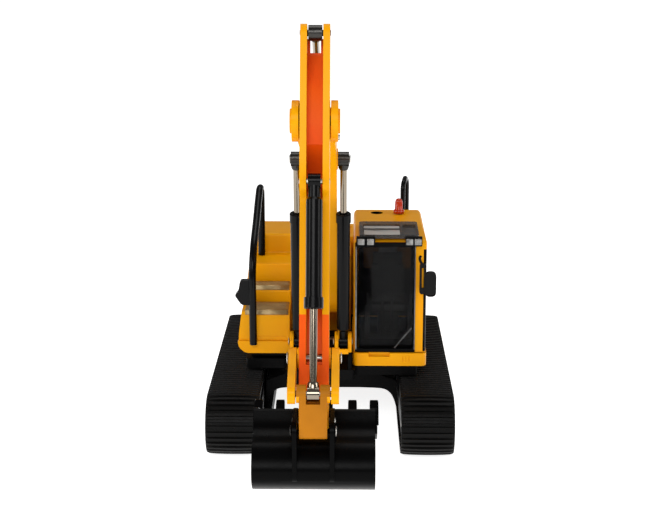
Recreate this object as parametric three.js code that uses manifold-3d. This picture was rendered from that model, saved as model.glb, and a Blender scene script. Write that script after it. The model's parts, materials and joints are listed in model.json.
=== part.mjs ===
// Toy crawler excavator, about 1:40, as an assembly of separate pieces.
// Millimetres. +Z is up, the machine faces -Y, and the origin is on the ground under the slew axis.
// "left" and "right" are the machine's own: its cab is on its left, at +X.
import * as THREE from "three";
import * as BufferGeometryUtils from "three/addons/utils/BufferGeometryUtils.js";
import Module from "manifold-3d";

const wasm = await Module();
wasm.setup();

// ---------------------------------------------------------------- driving dimensions
const GAP = 0.3;                 // clearance between neighbouring pieces

const TRACK = { inner: 24.6, outer: 43.2, radius: 11.1, belt: 1.6, axleY: 49 };
const DECK = { bottom: 24, top: 27.7 };
const BOOM_X = -3.6;             // plane of the boom, stick and bucket
const LIFT_X = 8;                // lift cylinders stand this far either side of that plane

const BOOM_FOOT = [-16, 48];     // pivots as [y, z]
const LIFT_FOOT = [-34, 36.5];
const LIFT_EYE = [-46, 104.7];
const ARM_FOOT = [-36, 110.5];
const STICK_PIVOT = [-116.4, 128.2];
const ARM_EYE = [-110.6, 152.9];
const BUCKET_CYL_FOOT = [-126, 112.4];
const ROCKER_PIVOT = [-132, 61.5];
const ROD_END = [-145.5, 55.2];
const BUCKET_PIVOT = [-138, 44.5];
const LINK_PIVOT = [-145.2, 43.9];

const BOOM_HALF = 5.7;
const FORK_HALF = 6.7;
const FORK_SLOT = 4.65;
const STICK_HALF = 4.3;
const CHANNEL_HALF = 2.35;
const ROD_SLOT = 1.55;
const SLOT_END = -20.5;          // lower end of the rod's slot, measured down the stick
const BUCKET_HALF = 17.75;
const TOOTH_OFFSETS = [-17.9, -11.2, -3.73, 3.73, 11.2, 17.9];

const MAIN_BORE = 1.8;           // bore radii for the 1.5, 0.9 and 0.8 mm pins
const LINK_BORE = 1.15;
const FOOT_BORE = 1.05;
const WIDE = 20;                 // half length of a tool that bores right through

const CAB = { x0: 8, x1: 33.8, front: -35, rear: 13, floor: 33, roof: 75 };

// ---------------------------------------------------------------- colours and finishes
const paint = { color: 0xf0a010, roughness: 0.35, metalness: 0.0 };
const blackGloss = { color: 0x0c0c0c, roughness: 0.25, metalness: 0.0 };
const blackMatte = { color: 0x141414, roughness: 0.6, metalness: 0.0 };
const rubber = { color: 0x171717, roughness: 0.8, metalness: 0.0 };
const chrome = { color: 0xc8c4bc, roughness: 0.15, metalness: 1.0 };
const steel = { color: 0x9a9893, roughness: 0.4, metalness: 1.0 };
const clear = { color: 0xb8bcc0, roughness: 0.1, metalness: 0.0, transparent: true, opacity: 0.35 };
const amber = { color: 0xc83008, roughness: 0.2, metalness: 0.0 };

const group = new THREE.Group();

// ---------------------------------------------------------------- solids
function solid(geometry) {
  const plain = geometry.index ? geometry.toNonIndexed() : geometry;
  plain.deleteAttribute("normal");
  plain.deleteAttribute("uv");
  const merged = BufferGeometryUtils.mergeVertices(plain, 1e-4);
  const mesh = new wasm.Mesh({
    numProp: 3,
    vertProperties: new Float32Array(merged.attributes.position.array),
    triVerts: new Uint32Array(merged.index.array),
  });
  return new wasm.Manifold(mesh);
}

function join(...pieces) {
  return pieces.reduce((sum, piece) => sum.add(piece));
}

function cut(body, ...tools) {
  return tools.reduce((rest, tool) => rest.subtract(tool), body);
}

function part(name, body, finish) {
  const result = body.getMesh();
  const geometry = new THREE.BufferGeometry();
  geometry.setAttribute("position", new THREE.BufferAttribute(result.vertProperties, 3));
  geometry.setIndex(new THREE.BufferAttribute(result.triVerts, 1));
  geometry.computeVertexNormals();
  const mesh = new THREE.Mesh(geometry, new THREE.MeshStandardMaterial(finish));
  mesh.name = name;
  group.add(mesh);
}

function box(x0, x1, y0, y1, z0, z1) {
  const geometry = new THREE.BoxGeometry(x1 - x0, y1 - y0, z1 - z0);
  geometry.translate((x0 + x1) / 2, (y0 + y1) / 2, (z0 + z1) / 2);
  return solid(geometry);
}

function extrude(points, depth) {
  const shape = new THREE.Shape(points.map(([a, b]) => new THREE.Vector2(a, b)));
  return new THREE.ExtrudeGeometry(shape, { depth, bevelEnabled: false, steps: 1 });
}

// A plate whose outline is given as [y, z], standing between x0 and x1.
function plateYZ(points, x0, x1) {
  const geometry = extrude(points, x1 - x0);
  geometry.applyMatrix4(new THREE.Matrix4().set(0, 0, 1, x0, 1, 0, 0, 0, 0, 1, 0, 0, 0, 0, 0, 1));
  return solid(geometry);
}

// A plate whose outline is given as [x, z], standing between y0 and y1.
function plateXZ(points, y0, y1) {
  const geometry = extrude(points, y1 - y0);
  geometry.applyMatrix4(new THREE.Matrix4().set(1, 0, 0, 0, 0, 0, -1, y1, 0, 1, 0, 0, 0, 0, 0, 1));
  return solid(geometry);
}

// A plate whose outline is given as [x, y], lying between z0 and z1.
function plateXY(points, z0, z1) {
  const geometry = extrude(points, z1 - z0);
  geometry.translate(0, 0, z0);
  return solid(geometry);
}

// Outline round a set of discs [a, b, radius], as a tight string would run.
function hullOutline(discs, segments = 12) {
  const points = [];
  for (const [a, b, radius] of discs) {
    for (let i = 0; i < segments; i += 1) {
      const angle = (i / segments) * 2 * Math.PI;
      points.push([a + radius * Math.cos(angle), b + radius * Math.sin(angle)]);
    }
  }
  points.sort((p, q) => p[0] - q[0] || p[1] - q[1]);
  const turn = (o, p, q) => (p[0] - o[0]) * (q[1] - o[1]) - (p[1] - o[1]) * (q[0] - o[0]);
  const chain = (list) => {
    const kept = [];
    for (const point of list) {
      while (kept.length >= 2 && turn(kept.at(-2), kept.at(-1), point) <= 1e-6) kept.pop();
      kept.push(point);
    }
    kept.pop();
    return kept;
  };
  return chain(points).concat(chain(points.slice().reverse()));
}

function link(discs, x0, x1, segments = 12) {
  return plateYZ(hullOutline(discs, segments), x0, x1);
}

// A round pin along X, centred on pivot [y, z].
function pinX(pivot, x0, x1, radius, segments = 12) {
  const geometry = new THREE.CylinderGeometry(radius, radius, x1 - x0, segments);
  geometry.rotateZ(Math.PI / 2);
  geometry.translate((x0 + x1) / 2, pivot[0], pivot[1]);
  return solid(geometry);
}

// A pin with a wider head at each end.
function headedPin(pivot, x0, x1, radius, head, headLength) {
  return join(
    pinX(pivot, x0, x1, radius),
    pinX(pivot, x0, x0 + headLength, head),
    pinX(pivot, x1 - headLength, x1, head),
  );
}

function upright(x, y, z0, z1, radius, segments = 20) {
  const geometry = new THREE.CylinderGeometry(radius, radius, z1 - z0, segments);
  geometry.rotateX(Math.PI / 2);
  geometry.translate(x, y, (z0 + z1) / 2);
  return solid(geometry);
}

// A cylinder that runs in a plane of constant x, from [y, z] to [y, z].
function strut(x, from, to, radius, segments = 12) {
  const start = new THREE.Vector3(x, from[0], from[1]);
  const end = new THREE.Vector3(x, to[0], to[1]);
  const geometry = new THREE.CylinderGeometry(radius, radius, start.distanceTo(end), segments);
  const along = end.clone().sub(start).normalize();
  geometry.applyQuaternion(new THREE.Quaternion().setFromUnitVectors(new THREE.Vector3(0, 1, 0), along));
  const middle = start.add(end).multiplyScalar(0.5);
  geometry.translate(middle.x, middle.y, middle.z);
  return solid(geometry);
}

function along(from, to, distance) {
  const length = Math.hypot(to[0] - from[0], to[1] - from[1]);
  const t = distance / length;
  return [from[0] + (to[0] - from[0]) * t, from[1] + (to[1] - from[1]) * t];
}

// A bent round bar that follows a smooth curve through 3-D points.
function bar(points, radius, sides = 6) {
  const knots = points.map(([x, y, z]) => new THREE.Vector3(x, y, z));
  const route = new THREE.CatmullRomCurve3(knots, false, "catmullrom", 0.2);
  const section = new THREE.Shape();
  for (let i = 0; i < sides; i += 1) {
    const angle = (i / sides) * 2 * Math.PI;
    const place = [radius * Math.cos(angle), radius * Math.sin(angle)];
    if (i === 0) section.moveTo(...place);
    else section.lineTo(...place);
  }
  section.closePath();
  const steps = (points.length - 1) * 3;
  return solid(new THREE.ExtrudeGeometry(section, { steps, extrudePath: route, bevelEnabled: false }));
}

function roundedRect(x0, x1, y0, y1, radius) {
  const corners = [[x0, y0], [x1, y0], [x1, y1], [x0, y1]];
  const discs = corners.map(([x, y]) => [
    x + (x === x0 ? radius : -radius),
    y + (y === y0 ? radius : -radius),
    radius,
  ]);
  return hullOutline(discs);
}

// ---------------------------------------------------------------- undercarriage
const axleZ = TRACK.radius;

function undercarriage() {
  const half = TRACK.inner - GAP;
  const arch = plateXZ(
    [
      [-half, 5.6], [-23.9, 7.2], [-23, 10], [-21.6, 12.2], [-18.7, 13.7], [-11, 14.1],
      [11, 14.1], [18.7, 13.7], [21.6, 12.2], [23, 10], [23.9, 7.2], [half, 5.6],
      [half, 16.5], [14, 20.5], [-14, 20.5], [-half, 16.5],
    ],
    -19, 19,
  );
  const centre = upright(0, 0, 13, 20.5, 14);
  const post = upright(0, 0, 20, 22.2, 9.7);
  part("carbody", cut(join(arch, centre, post), upright(0, 0, 10, 30, 2.9)), blackMatte);
  const ring = cut(upright(0, 0, 20.5 + GAP, DECK.bottom - GAP, 15, 28), upright(0, 0, 18, 30, 10));
  part("slew_ring", ring, blackMatte);
  part(
    "swivel_pin",
    join(upright(0, 0, 12, DECK.top - GAP, 2.6), upright(0, 0, 11.4, 12.7, 4.6)),
    steel,
  );

  for (const [side, sign] of [["left", 1], ["right", -1]]) {
    const inside = (a, b) => (sign > 0 ? [a, b] : [-b, -a]);
    const r = TRACK.radius;
    const y = TRACK.axleY;
    const beltOuter = hullOutline([[-y, r, r], [y, r, r]], 32);
    const beltInner = hullOutline([[-y, r, r - TRACK.belt], [y, r, r - TRACK.belt]], 32);
    const [b0, b1] = inside(TRACK.inner, TRACK.outer);
    const belt = cut(plateYZ(beltOuter, b0, b1), plateYZ(beltInner, b0 - 1, b1 + 1));
    part(`track_belt_${side}`, belt, rubber);

    const [f0, f1] = inside(TRACK.inner + GAP, TRACK.outer - 3);
    const beam = link([[-28, axleZ, 4.6], [28, axleZ, 4.6]], f0, f1);
    const lower = link([[-30, 5, 3], [30, 5, 3]], f0 + 3, f1 - 3);
    const [a0, a1] = inside(TRACK.inner + GAP, TRACK.inner + 3.3);
    const arms = link([[-y, axleZ, 3.4], [y, axleZ, 3.4]], a0, a1);
    const holes = [-y, y].map((at) => pinX([at, axleZ], a0 - 1, a1 + 1, 1.8));
    part(`track_frame_${side}`, cut(join(beam, lower, arms), ...holes), blackMatte);

    const wheelRadius = r - TRACK.belt - GAP;
    const [w0, w1] = inside(TRACK.inner + 3.6, TRACK.outer - 1.2);
    for (const [name, at] of [["drive_sprocket", y], ["idler_wheel", -y]]) {
      const wheel = pinX([at, axleZ], w0, w1, wheelRadius, 24);
      const teeth = name === "drive_sprocket" ? 7 : 5;
      const pockets = [];
      for (let i = 0; i < teeth; i += 1) {
        const angle = (i / teeth) * 2 * Math.PI;
        const place = [at + 5.4 * Math.cos(angle), axleZ + 5.4 * Math.sin(angle)];
        const [p0, p1] = sign > 0 ? [w1 - 1.6, w1 + 1] : [w0 - 1, w0 + 1.6];
        pockets.push(pinX(place, p0, p1, 1.5, 12));
      }
      part(`${name}_${side}`, cut(wheel, pinX([at, axleZ], w0 - 1, w1 + 1, 1.8), ...pockets), blackMatte);
      const [x0, x1] = inside(TRACK.inner - 0.2, TRACK.outer - 0.4);
      const axle = headedPin([at, axleZ], x0, x1, 1.4, 2.6, 0.4);
      const [i0, i1] = sign > 0 ? [x0 - 1, x0 + 0.4] : [x1 - 0.4, x1 + 1];
      const innerHead = box(i0, i1, at - 3, at + 3, 0, 2 * TRACK.radius);
      part(`${name}_axle_${side}`, cut(axle, innerHead), steel);
    }
  }
}

// ---------------------------------------------------------------- revolving frame and body
const liftSides = [["left", BOOM_X + LIFT_X], ["right", BOOM_X - LIFT_X]];

function deck() {
  const floor = plateXY(
    [[-16, -40], [8.6, -40], [8.6, -34], [31, -34], [31, 54.3], [-31, 54.3], [-31, -27], [-16, -27]],
    DECK.bottom, DECK.top,
  );
  const brackets = [-1, 1].map((side) => {
    const inner = BOOM_X + side * (BOOM_HALF + GAP);
    const outer = BOOM_X + side * (BOOM_HALF + 2.3);
    const outline = hullOutline([[...BOOM_FOOT, 5.5], [-21, DECK.top, 4], [1, DECK.top, 4]]);
    return plateYZ(outline, Math.min(inner, outer), Math.max(inner, outer));
  });
  const clevis = liftSides.flatMap(([, x]) => [-1, 1].map((side) => {
    const inner = x + side * 1.7;
    const outer = x + side * 3;
    const outline = hullOutline([[...LIFT_FOOT, 3.6], [-37, DECK.top, 2.5], [-30, DECK.top, 2.5]]);
    return plateYZ(outline, Math.min(inner, outer), Math.max(inner, outer));
  }));
  const body = join(floor, ...brackets, ...clevis);
  const trimmed = cut(body, box(-40, 40, -60, 60, 10, DECK.bottom));
  const liftBores = liftSides.map(([, x]) => pinX(LIFT_FOOT, x - 5, x + 5, 1.1));
  const bores = [pinX(BOOM_FOOT, -WIDE, WIDE, MAIN_BORE), ...liftBores];
  part("revolving_frame", cut(trimmed, upright(0, 0, 10, 40, 2.9), ...bores), paint);

  part("boom_foot_pin", headedPin(BOOM_FOOT, BOOM_X - 9, BOOM_X + 9, 1.5, 2.4, 0.7), steel);
  for (const [side, x] of liftSides) {
    part(`lift_foot_pin_${side}`, headedPin(LIFT_FOOT, x - 3.7, x + 3.4, 0.8, 1.4, 0.35), steel);
  }
}

function bodywork() {
  const counterOutline = hullOutline([[-29.5, 58.6, 4], [29.5, 58.6, 4], [-19, 60, 12], [19, 60, 12]]);
  const weight = plateXY(counterOutline, DECK.bottom, 57);
  const side = plateYZ([[54.6, 24], [68, 24], [72, 30], [72, 49], [67, 56.5], [54.6, 57]], -40, 40);
  part("counterweight", weight.intersect(side), paint);

  const hood = join(
    box(-32, 32, 30 + GAP, 54.3, DECK.top + GAP, 60),
    box(9, 33, 14, 30.5, DECK.top + GAP, 62),
    box(-14.5, 7.2, 8, 30.5, DECK.top + GAP, 58),
  );
  const vents = [36, 40, 44, 48].map((y) => box(-33, -31, y, y + 2, 36, 54));
  const cornerL = plateXZ([[-33, 61], [-33, 56], [-28, 61]], 29, 56);
  const cornerR = plateXZ([[34, 63], [28, 63], [34, 57]], 13, 56);
  part("engine_hood", cut(hood, ...vents, cornerL, cornerR), paint);

  // stepped tank box ahead of the hood, on the machine's right
  const steps = [
    [-25.5, 30.4], [-28, 30.4], [-28, 44], [-27, 45.5], [-16 - GAP, 45.5], [-16 - GAP, 50.3], [-15, 51.5],
    [-9, 51.5], [-9, 58.8], [7, 58.8], [7, 66.5], [29.7, 66.5],
    [29.7, DECK.bottom + 4.3], [-25.5, DECK.bottom + 4.3],
  ];
  const width = [
    [-33.5, 36], [-33.2, 33.8], [-32, 31.6], [-30, 30.5], [-29, 30.4], [-29, 28.3],
    [-15, 28.3], [-15, 67], [-29.6, 67],
  ];
  const tank = plateYZ(steps, -34, -15).intersect(plateXZ(width, -30, 31));
  const lipOutline = [
    [-33.8, 34.9], [-33.4, 33.4], [-32.1, 31.4], [-30, 30.4], [-15, 30.4], [-15, 34.9],
  ];
  const lip = plateXZ(lipOutline, -29, -27);
  part("tank_box", join(tank, lip), paint);
  part("lower_tread", box(-31, -15.5, -27.6, -16.6, 45.5 + GAP, 46.5), steel);
  part("upper_tread", box(-30.5, -15.5, -15.6, -9.4, 51.5 + GAP, 52.5), steel);

  const railX = -28;
  const rail = bar([
    [railX, -30.5, 34], [railX, -32.6, 62], [railX + 0.3, -26, 70], [railX + 0.9, -4, 83.4],
    [railX + 1.1, 0, 85.4], [railX + 1.3, 3, 84.8], [railX + 1.3, 4.2, 82], [railX + 1.3, 4.2, 58.8 + GAP],
  ], 1.2);
  const mirrorOutline = [
    [railX, 58.4], [railX - 4.4, 58.4], [railX - 5, 54.6], [railX - 6.4, 53], [railX - 4, 49.4], [railX, 49.2],
  ];
  part("handrail_right", join(rail, plateXZ(orient(mirrorOutline), -32.6, -29.6)), blackGloss);
  part("handrail_left", bar([
    [27, 19, 62 + GAP], [27, 19, 82], [27.4, 21, 84.4],
    [28.4, 28, 84.4], [28.9, 30, 82], [28.9, 30, 62 + GAP],
  ], 0.95), blackGloss);
}

// ---------------------------------------------------------------- cab
function cab() {
  const { x0, x1, front, rear, floor, roof } = CAB;
  const base = plateXY(roundedRect(x0 - 0.3, x1 + 0.3, front - 1, rear, 2.4), DECK.top + GAP, floor - GAP);
  part("cab_base", base, paint);

  const profile = [
    [front, floor], [front - 0.2, 52], [front + 1.6, 72.6], [front + 3.4, 74], [-8, roof - 0.3],
    [6, roof], [rear - 1.2, roof], [rear, roof - 1.2], [rear, floor],
  ];
  const outline = plateXY(roundedRect(x0, x1, front - 1, rear, 2.2), floor, roof);
  const outer = plateYZ(profile, x0, x1).intersect(outline);
  const room = box(x0 + 1.3, x1 - 1.3, front + 1.6, rear - 1.3, floor - 1, roof - 3.4);
  const windscreen = box(x0 + 0.8, 29.6, front - 3, front + 3, floor + 0.4, 71.5);
  const sunroof = box(10.8, 31.2, -31, -15.4, 66, 80);
  const doorOutline = [[-32, 52], [-30.6, 69.5], [-10, 69.5], [-10, 48], [-24, 44], [-32, 44]];
  const doorWindow = plateYZ(doorOutline, 30, 36);
  const rearDoor = box(30, 36, -7.5, 8, 50, 69.5);
  const boomSide = box(6, 12, -31, 8, 47, 69.5);
  const rearWindow = box(12, 30, 10, 16, 52, 69.5);
  const beaconHole = upright(16.8, 4.5, roof - 2, roof + 1, 2.1, 16);
  const windows = [windscreen, sunroof, doorWindow, rearDoor, boomSide, rearWindow];
  part("cab_shell", cut(outer, room, ...windows, beaconHole), paint);

  const g0 = x0 + 1.3 + GAP;
  const g1 = x1 - 1.3 - GAP;
  const pane = box(g0, g1, front + 1.9, rear - 1.6, floor + GAP, roof - 3.7);
  const hollow = box(g0 + 0.6, g1 - 0.6, front + 2.5, rear - 2.2, floor - 1, roof - 4.3);
  part("cab_glazing", cut(pane, hollow), clear);

  part("roof_visor", plateYZ([[-34.2, 74.3], [-14, 74.9], [-14, 76.1], [-34.2, 75.5]], 10, 32), clear);

  const seat = join(
    box(15, 27, -12, 0, 41, 44.5),
    plateYZ([[-1.5, 41], [2.5, 41], [5, 60], [1.5, 61]], 15.5, 26.5),
    box(17.5, 24.5, 1.6, 4.6, 60, 65.5),
    box(17, 25, -10, -1, floor + GAP, 41.5),
  );
  part("driver_seat", seat, blackMatte);
  const controls = join(
    box(12, 14.2, -20, -2, floor + GAP, 46),
    box(27.8, 29.6, -20, -2, floor + GAP, 46),
    box(12, 29.6, -21, -18.5, floor + GAP, 35.5),
    bar([[18.5, -20, 35], [18.6, -22, 47], [18.6, -21.6, 51]], 0.6),
    bar([[21.8, -20, 35], [21.9, -22, 47], [21.9, -21.6, 51]], 0.6),
  );
  part("control_console", controls, blackMatte);

  const wiperY = front - 1.6;
  const wiper = bar([[28.6, wiperY, 42.5], [25.4, wiperY, 38.5], [22.6, wiperY, 35]], 0.35);
  part("windscreen_wiper", wiper, blackMatte);
  for (const [side, a, b] of [["right", 8.9, 15.5], ["left", 26.1, 32]]) {
    const housing = box(a, b, -37.2, front - 0.6 - GAP, 72.2, 75.6);
    const lensDips = [0.25, 0.75].map((t) => {
      const middle = a + (b - a) * t;
      return box(middle - 1.2, middle + 1.2, -38, -36.9, 72.6, 74.8);
    });
    part(`lamp_bar_${side}`, cut(housing, ...lensDips), blackMatte);
  }
  const beaconProfile = [[0, 0], [2.05, 0], [2.05, 1], [1.5, 1.4], [1.45, 4.6], [1.1, 5.4], [0, 5.6]];
  const beacon = new THREE.LatheGeometry(beaconProfile.map(([r, z]) => new THREE.Vector2(r, z)), 20);
  beacon.rotateX(Math.PI / 2);
  beacon.translate(25, 4.5, roof + GAP);
  part("beacon", solid(beacon), amber);
  const bracket = plateXZ(roundedRect(x1 - 2.6, x1 - 0.2, 54.8, 66, 1.1), -36.8, -35.6);
  const mirror = plateXZ(roundedRect(x1 - 0.6, x1 + 3.3, 54, 63, 1.6), -37.4, -35.6);
  part("cab_mirror", join(bracket, mirror), blackGloss);
}

// ---------------------------------------------------------------- boom and lift cylinders
function boom() {
  const sideOutline = [
    [-21.8, 46], [-23.4, 52], [-41, 88], [-50.5, 99.6], [-60, 106.4], [-72, 111.6], [-112, 123.2],
    [-117.5, 123.6], [-121.2, 125.4], [-122.3, 128.8], [-120.6, 132], [-115.6, 133.6], [-108, 132.2],
    [-60, 117.5], [-44, 111.6], [-35, 106], [-29, 98], [-11, 54], [-10, 47], [-13, 42.8], [-18.5, 42.4],
  ];
  const beam = plateYZ(sideOutline.slice().reverse(), BOOM_X - BOOM_HALF, BOOM_X + BOOM_HALF);
  const ears = plateYZ(
    hullOutline([[...STICK_PIVOT, 6], [-105, 127.5, 4.4]], 16), BOOM_X - FORK_HALF, BOOM_X + FORK_HALF,
  );
  const boss = pinX(STICK_PIVOT, BOOM_X - 7.3, BOOM_X + 7.3, 3.6);
  const eyeBoss = pinX(LIFT_EYE, BOOM_X - 6.1, BOOM_X + 6.1, 3.6);
  const armLugs = link([[...ARM_FOOT, 3], [-40, 103, 6]], BOOM_X - 4.9, BOOM_X + 4.9);
  const slotDiscs = [
    [...STICK_PIVOT, 8.6], [-105.5, 126, 5], [-106.5, 133, 6], [-126, 150, 9], [-128, 118, 9],
  ];
  const slot = link(slotDiscs, BOOM_X - FORK_SLOT, BOOM_X + FORK_SLOT);
  const lugGapDiscs = [[...ARM_FOOT, 3.9], [-60, 126, 6], [-50, 140, 6], [-22, 124, 6]];
  const lugGap = link(lugGapDiscs, BOOM_X - 3.3, BOOM_X + 3.3);
  const bores = [
    pinX(BOOM_FOOT, -WIDE, WIDE, MAIN_BORE),
    pinX(STICK_PIVOT, -WIDE, WIDE, MAIN_BORE),
    pinX(LIFT_EYE, -WIDE, WIDE, 1.35),
    pinX(ARM_FOOT, -WIDE, WIDE, 1.3),
  ];
  part("boom", cut(join(beam, ears, boss, eyeBoss, armLugs), slot, lugGap, ...bores), paint);
  part("stick_pivot_pin", pinX(STICK_PIVOT, BOOM_X - 7.3, BOOM_X + 7.3, 1.5), steel);
  part("lift_eye_pin", headedPin(LIFT_EYE, BOOM_X - 10.4, BOOM_X + 10.4, 1.05, 1.6, 0.4), steel);
  part("arm_foot_pin", pinX(ARM_FOOT, BOOM_X - BOOM_HALF - 1, BOOM_X + BOOM_HALF + 1, 1), steel);
}

// A cylinder barrel that is bored with a slot, so its rod has play in the swing plane.
function barrel({ x, foot, eye, length, radius, collar, rod, play, eyeHalf, eyeRadius, pin }) {
  const body = strut(x, along(foot, eye, eyeRadius + 2.4), along(foot, eye, length), radius);
  const gland = strut(x, along(foot, eye, length - 3.4), along(foot, eye, length), collar);
  const base = pinX(foot, x - eyeHalf, x + eyeHalf, eyeRadius);
  const neck = strut(x, along(foot, eye, 0.5), along(foot, eye, eyeRadius + 3), Math.min(eyeHalf, radius));
  const size = Math.hypot(eye[0] - foot[0], eye[1] - foot[1]);
  const flank = [-(eye[1] - foot[1]) / size, (eye[0] - foot[0]) / size];
  const start = along(foot, eye, eyeRadius + 3.6);
  const end = along(foot, eye, length + 1);
  const half = rod + play;
  const corner = (at, sign) => [at[0] + sign * flank[0] * half, at[1] + sign * flank[1] * half];
  const slotOutline = [corner(start, 1), corner(start, -1), corner(end, -1), corner(end, 1)];
  const slot = plateYZ(orient(slotOutline), x - rod - 0.15, x + rod + 0.15);
  return cut(join(body, gland, base, neck), slot, pinX(foot, x - 10, x + 10, pin + 0.25));
}

function orient(points) {
  let area = 0;
  points.forEach(([a, b], i) => {
    const [c, d] = points[(i + 1) % points.length];
    area += a * d - c * b;
  });
  return area > 0 ? points : points.slice().reverse();
}

function rodPiece({ x, foot, eye, reach, rod, eyeHalf, eyeRadius, pin }) {
  const shaft = strut(x, along(eye, foot, 0.6), along(eye, foot, reach), rod, 16);
  const collarEnd = along(eye, foot, eyeRadius + 1.2);
  const collar = strut(x, along(eye, foot, 0.6), collarEnd, Math.min(eyeHalf, rod + 0.6));
  const head = pinX(eye, x - eyeHalf, x + eyeHalf, eyeRadius);
  return cut(join(shaft, collar, head), pinX(eye, x - 10, x + 10, pin + 0.25));
}

function liftCylinders() {
  for (const [side, x] of liftSides) {
    const common = { x, foot: LIFT_FOOT, eye: LIFT_EYE };
    const tube = {
      length: 49.5, radius: 2.3, collar: 2.6, rod: 1.15, play: 0.6, eyeHalf: 1.4, eyeRadius: 2.2, pin: 0.8,
    };
    part(`lift_barrel_${side}`, barrel({ ...common, ...tube }), blackGloss);
    const ram = { reach: 58, rod: 1.15, eyeHalf: 1.9, eyeRadius: 2.5, pin: 1.05 };
    part(`lift_rod_${side}`, rodPiece({ ...common, ...ram }), chrome);
  }
}

function armCylinder() {
  const common = { x: BOOM_X, foot: ARM_FOOT, eye: ARM_EYE };
  const tube = {
    length: 54, radius: 2.9, collar: 3.1, rod: 1.2, play: 1.02, eyeHalf: 2.9, eyeRadius: 2.6, pin: 1,
  };
  part("arm_barrel", barrel({ ...common, ...tube }), blackGloss);
  part("arm_rod", rodPiece({ ...common, reach: 70, rod: 1.2, eyeHalf: 2, eyeRadius: 2.3, pin: 0.9 }), chrome);
}

// ---------------------------------------------------------------- stick, linkage and bucket
// Places on the stick are [s, n]: s runs down from the stick pivot, n runs forward from its axis.
const stickSpan = [BUCKET_PIVOT[0] - STICK_PIVOT[0], BUCKET_PIVOT[1] - STICK_PIVOT[1]];
const down = stickSpan.map((span) => span / Math.hypot(...stickSpan));
const onStick = ([s, n]) => [
  STICK_PIVOT[0] + s * down[0] + n * down[1],
  STICK_PIVOT[1] + s * down[1] - n * down[0],
];

function stick() {
  const side = [
    [-27.9, -2], [-27.9, 2.2], [-26, 3.4], [-8, 5.6], [12.3, 6.6], [19.9, 6.4], [22.3, 2.2], [56.3, 2],
    [70.3, 2.2], [82.3, 2.4], [85.3, 3], [88.3, 2.4], [89.3, 0], [88.3, -2.4], [85.9, -3], [78.3, -3.8],
    [64.3, -5.6], [38.3, -6.2], [8.3, -7], [-6, -6.4], [-20, -5.4], [-26, -4.8],
  ];
  const blade = plateYZ(orient(side.map(onStick)), BOOM_X - STICK_HALF, BOOM_X + STICK_HALF);
  const channel = [
    [-32, 9], [-32, -9], [-24.3, -9], [-24.3, -3.7], [-19, -3.7], [-9, 2.3], [7, 2.3], [11, -1.5],
    [16, -4.6], [38.3, -4.2], [58.3, -3.4], [70.3, -1], [70.3, 8], [28, 9], [0, 12],
  ];
  const trough = plateYZ(orient(channel.map(onStick)), BOOM_X - CHANNEL_HALF, BOOM_X + CHANNEL_HALF);
  const rodSlot = plateYZ(orient([[-30, -9], [-30, 9], [SLOT_END, 9], [SLOT_END, -9]].map(onStick)),
    BOOM_X - ROD_SLOT, BOOM_X + ROD_SLOT);
  const boss = link([[...ROCKER_PIVOT, 3]], BOOM_X - STICK_HALF - 0.5, BOOM_X + STICK_HALF + 0.5);
  const bores = [
    pinX(STICK_PIVOT, -WIDE, WIDE, MAIN_BORE),
    pinX(ARM_EYE, -WIDE, WIDE, LINK_BORE),
    pinX(BUCKET_CYL_FOOT, -WIDE, WIDE, FOOT_BORE),
    pinX(ROCKER_PIVOT, -WIDE, WIDE, LINK_BORE),
    pinX(BUCKET_PIVOT, -WIDE, WIDE, LINK_BORE),
  ];
  part("stick", cut(join(blade, boss), trough, rodSlot, ...bores), paint);
  part("arm_eye_pin", pinX(ARM_EYE, BOOM_X - 4.5, BOOM_X + 4.5, 0.9), steel);
  part("bucket_cylinder_foot_pin", pinX(BUCKET_CYL_FOOT, BOOM_X - 4.5, BOOM_X + 4.5, 0.8), steel);
  part("rocker_pivot_pin", headedPin(ROCKER_PIVOT, BOOM_X - 8, BOOM_X + 8, 0.9, 1.7, 0.35), steel);
  part("bucket_pivot_pin", pinX(BUCKET_PIVOT, BOOM_X - 6.3, BOOM_X + 6.3, 0.9), steel);
}

function bucketLinkage() {
  const common = { x: BOOM_X, foot: BUCKET_CYL_FOOT, eye: ROD_END };
  const tube = {
    length: 36.5, radius: 2.35, collar: 2.8, rod: 1.1, play: 0.3, eyeHalf: 1.8, eyeRadius: 2.2, pin: 0.8,
  };
  part("bucket_barrel", barrel({ ...common, ...tube }), blackGloss);
  const ram = { reach: 46, rod: 1.1, eyeHalf: 1.7, eyeRadius: 2.2, pin: 0.9 };
  part("bucket_rod", rodPiece({ ...common, ...ram }), chrome);

  for (const [side, sign] of [["left", 1], ["right", -1]]) {
    const inner = BOOM_X + sign * (STICK_HALF + 0.8);
    const outer = BOOM_X + sign * 7.3;
    const discs = [[...ROCKER_PIVOT, 3], [...ROD_END, 2.9]];
    const plate = link(discs, Math.min(inner, outer), Math.max(inner, outer));
    const bores = [pinX(ROCKER_PIVOT, -WIDE, WIDE, LINK_BORE), pinX(ROD_END, -WIDE, WIDE, LINK_BORE)];
    part(`rocker_plate_${side}`, cut(plate, ...bores), paint);
  }
  part("rod_end_pin", pinX(ROD_END, BOOM_X - 7.3, BOOM_X + 7.3, 0.9), steel);

  const body = link([[...LINK_PIVOT, 2.2], [...ROD_END, 2.6]], BOOM_X - 3.95, BOOM_X + 3.95);
  const lugs = link([[...ROD_END, 2.6]], BOOM_X - 4.8, BOOM_X + 4.8);
  const throat = link([[...ROD_END, 3.4], [-140, 75, 4], [-151, 75, 4]], BOOM_X - 2, BOOM_X + 2);
  const bores = [pinX(ROD_END, -WIDE, WIDE, LINK_BORE), pinX(LINK_PIVOT, -WIDE, WIDE, 1.4)];
  part("bucket_link", cut(join(body, lugs), throat, ...bores), paint);
}

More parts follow.
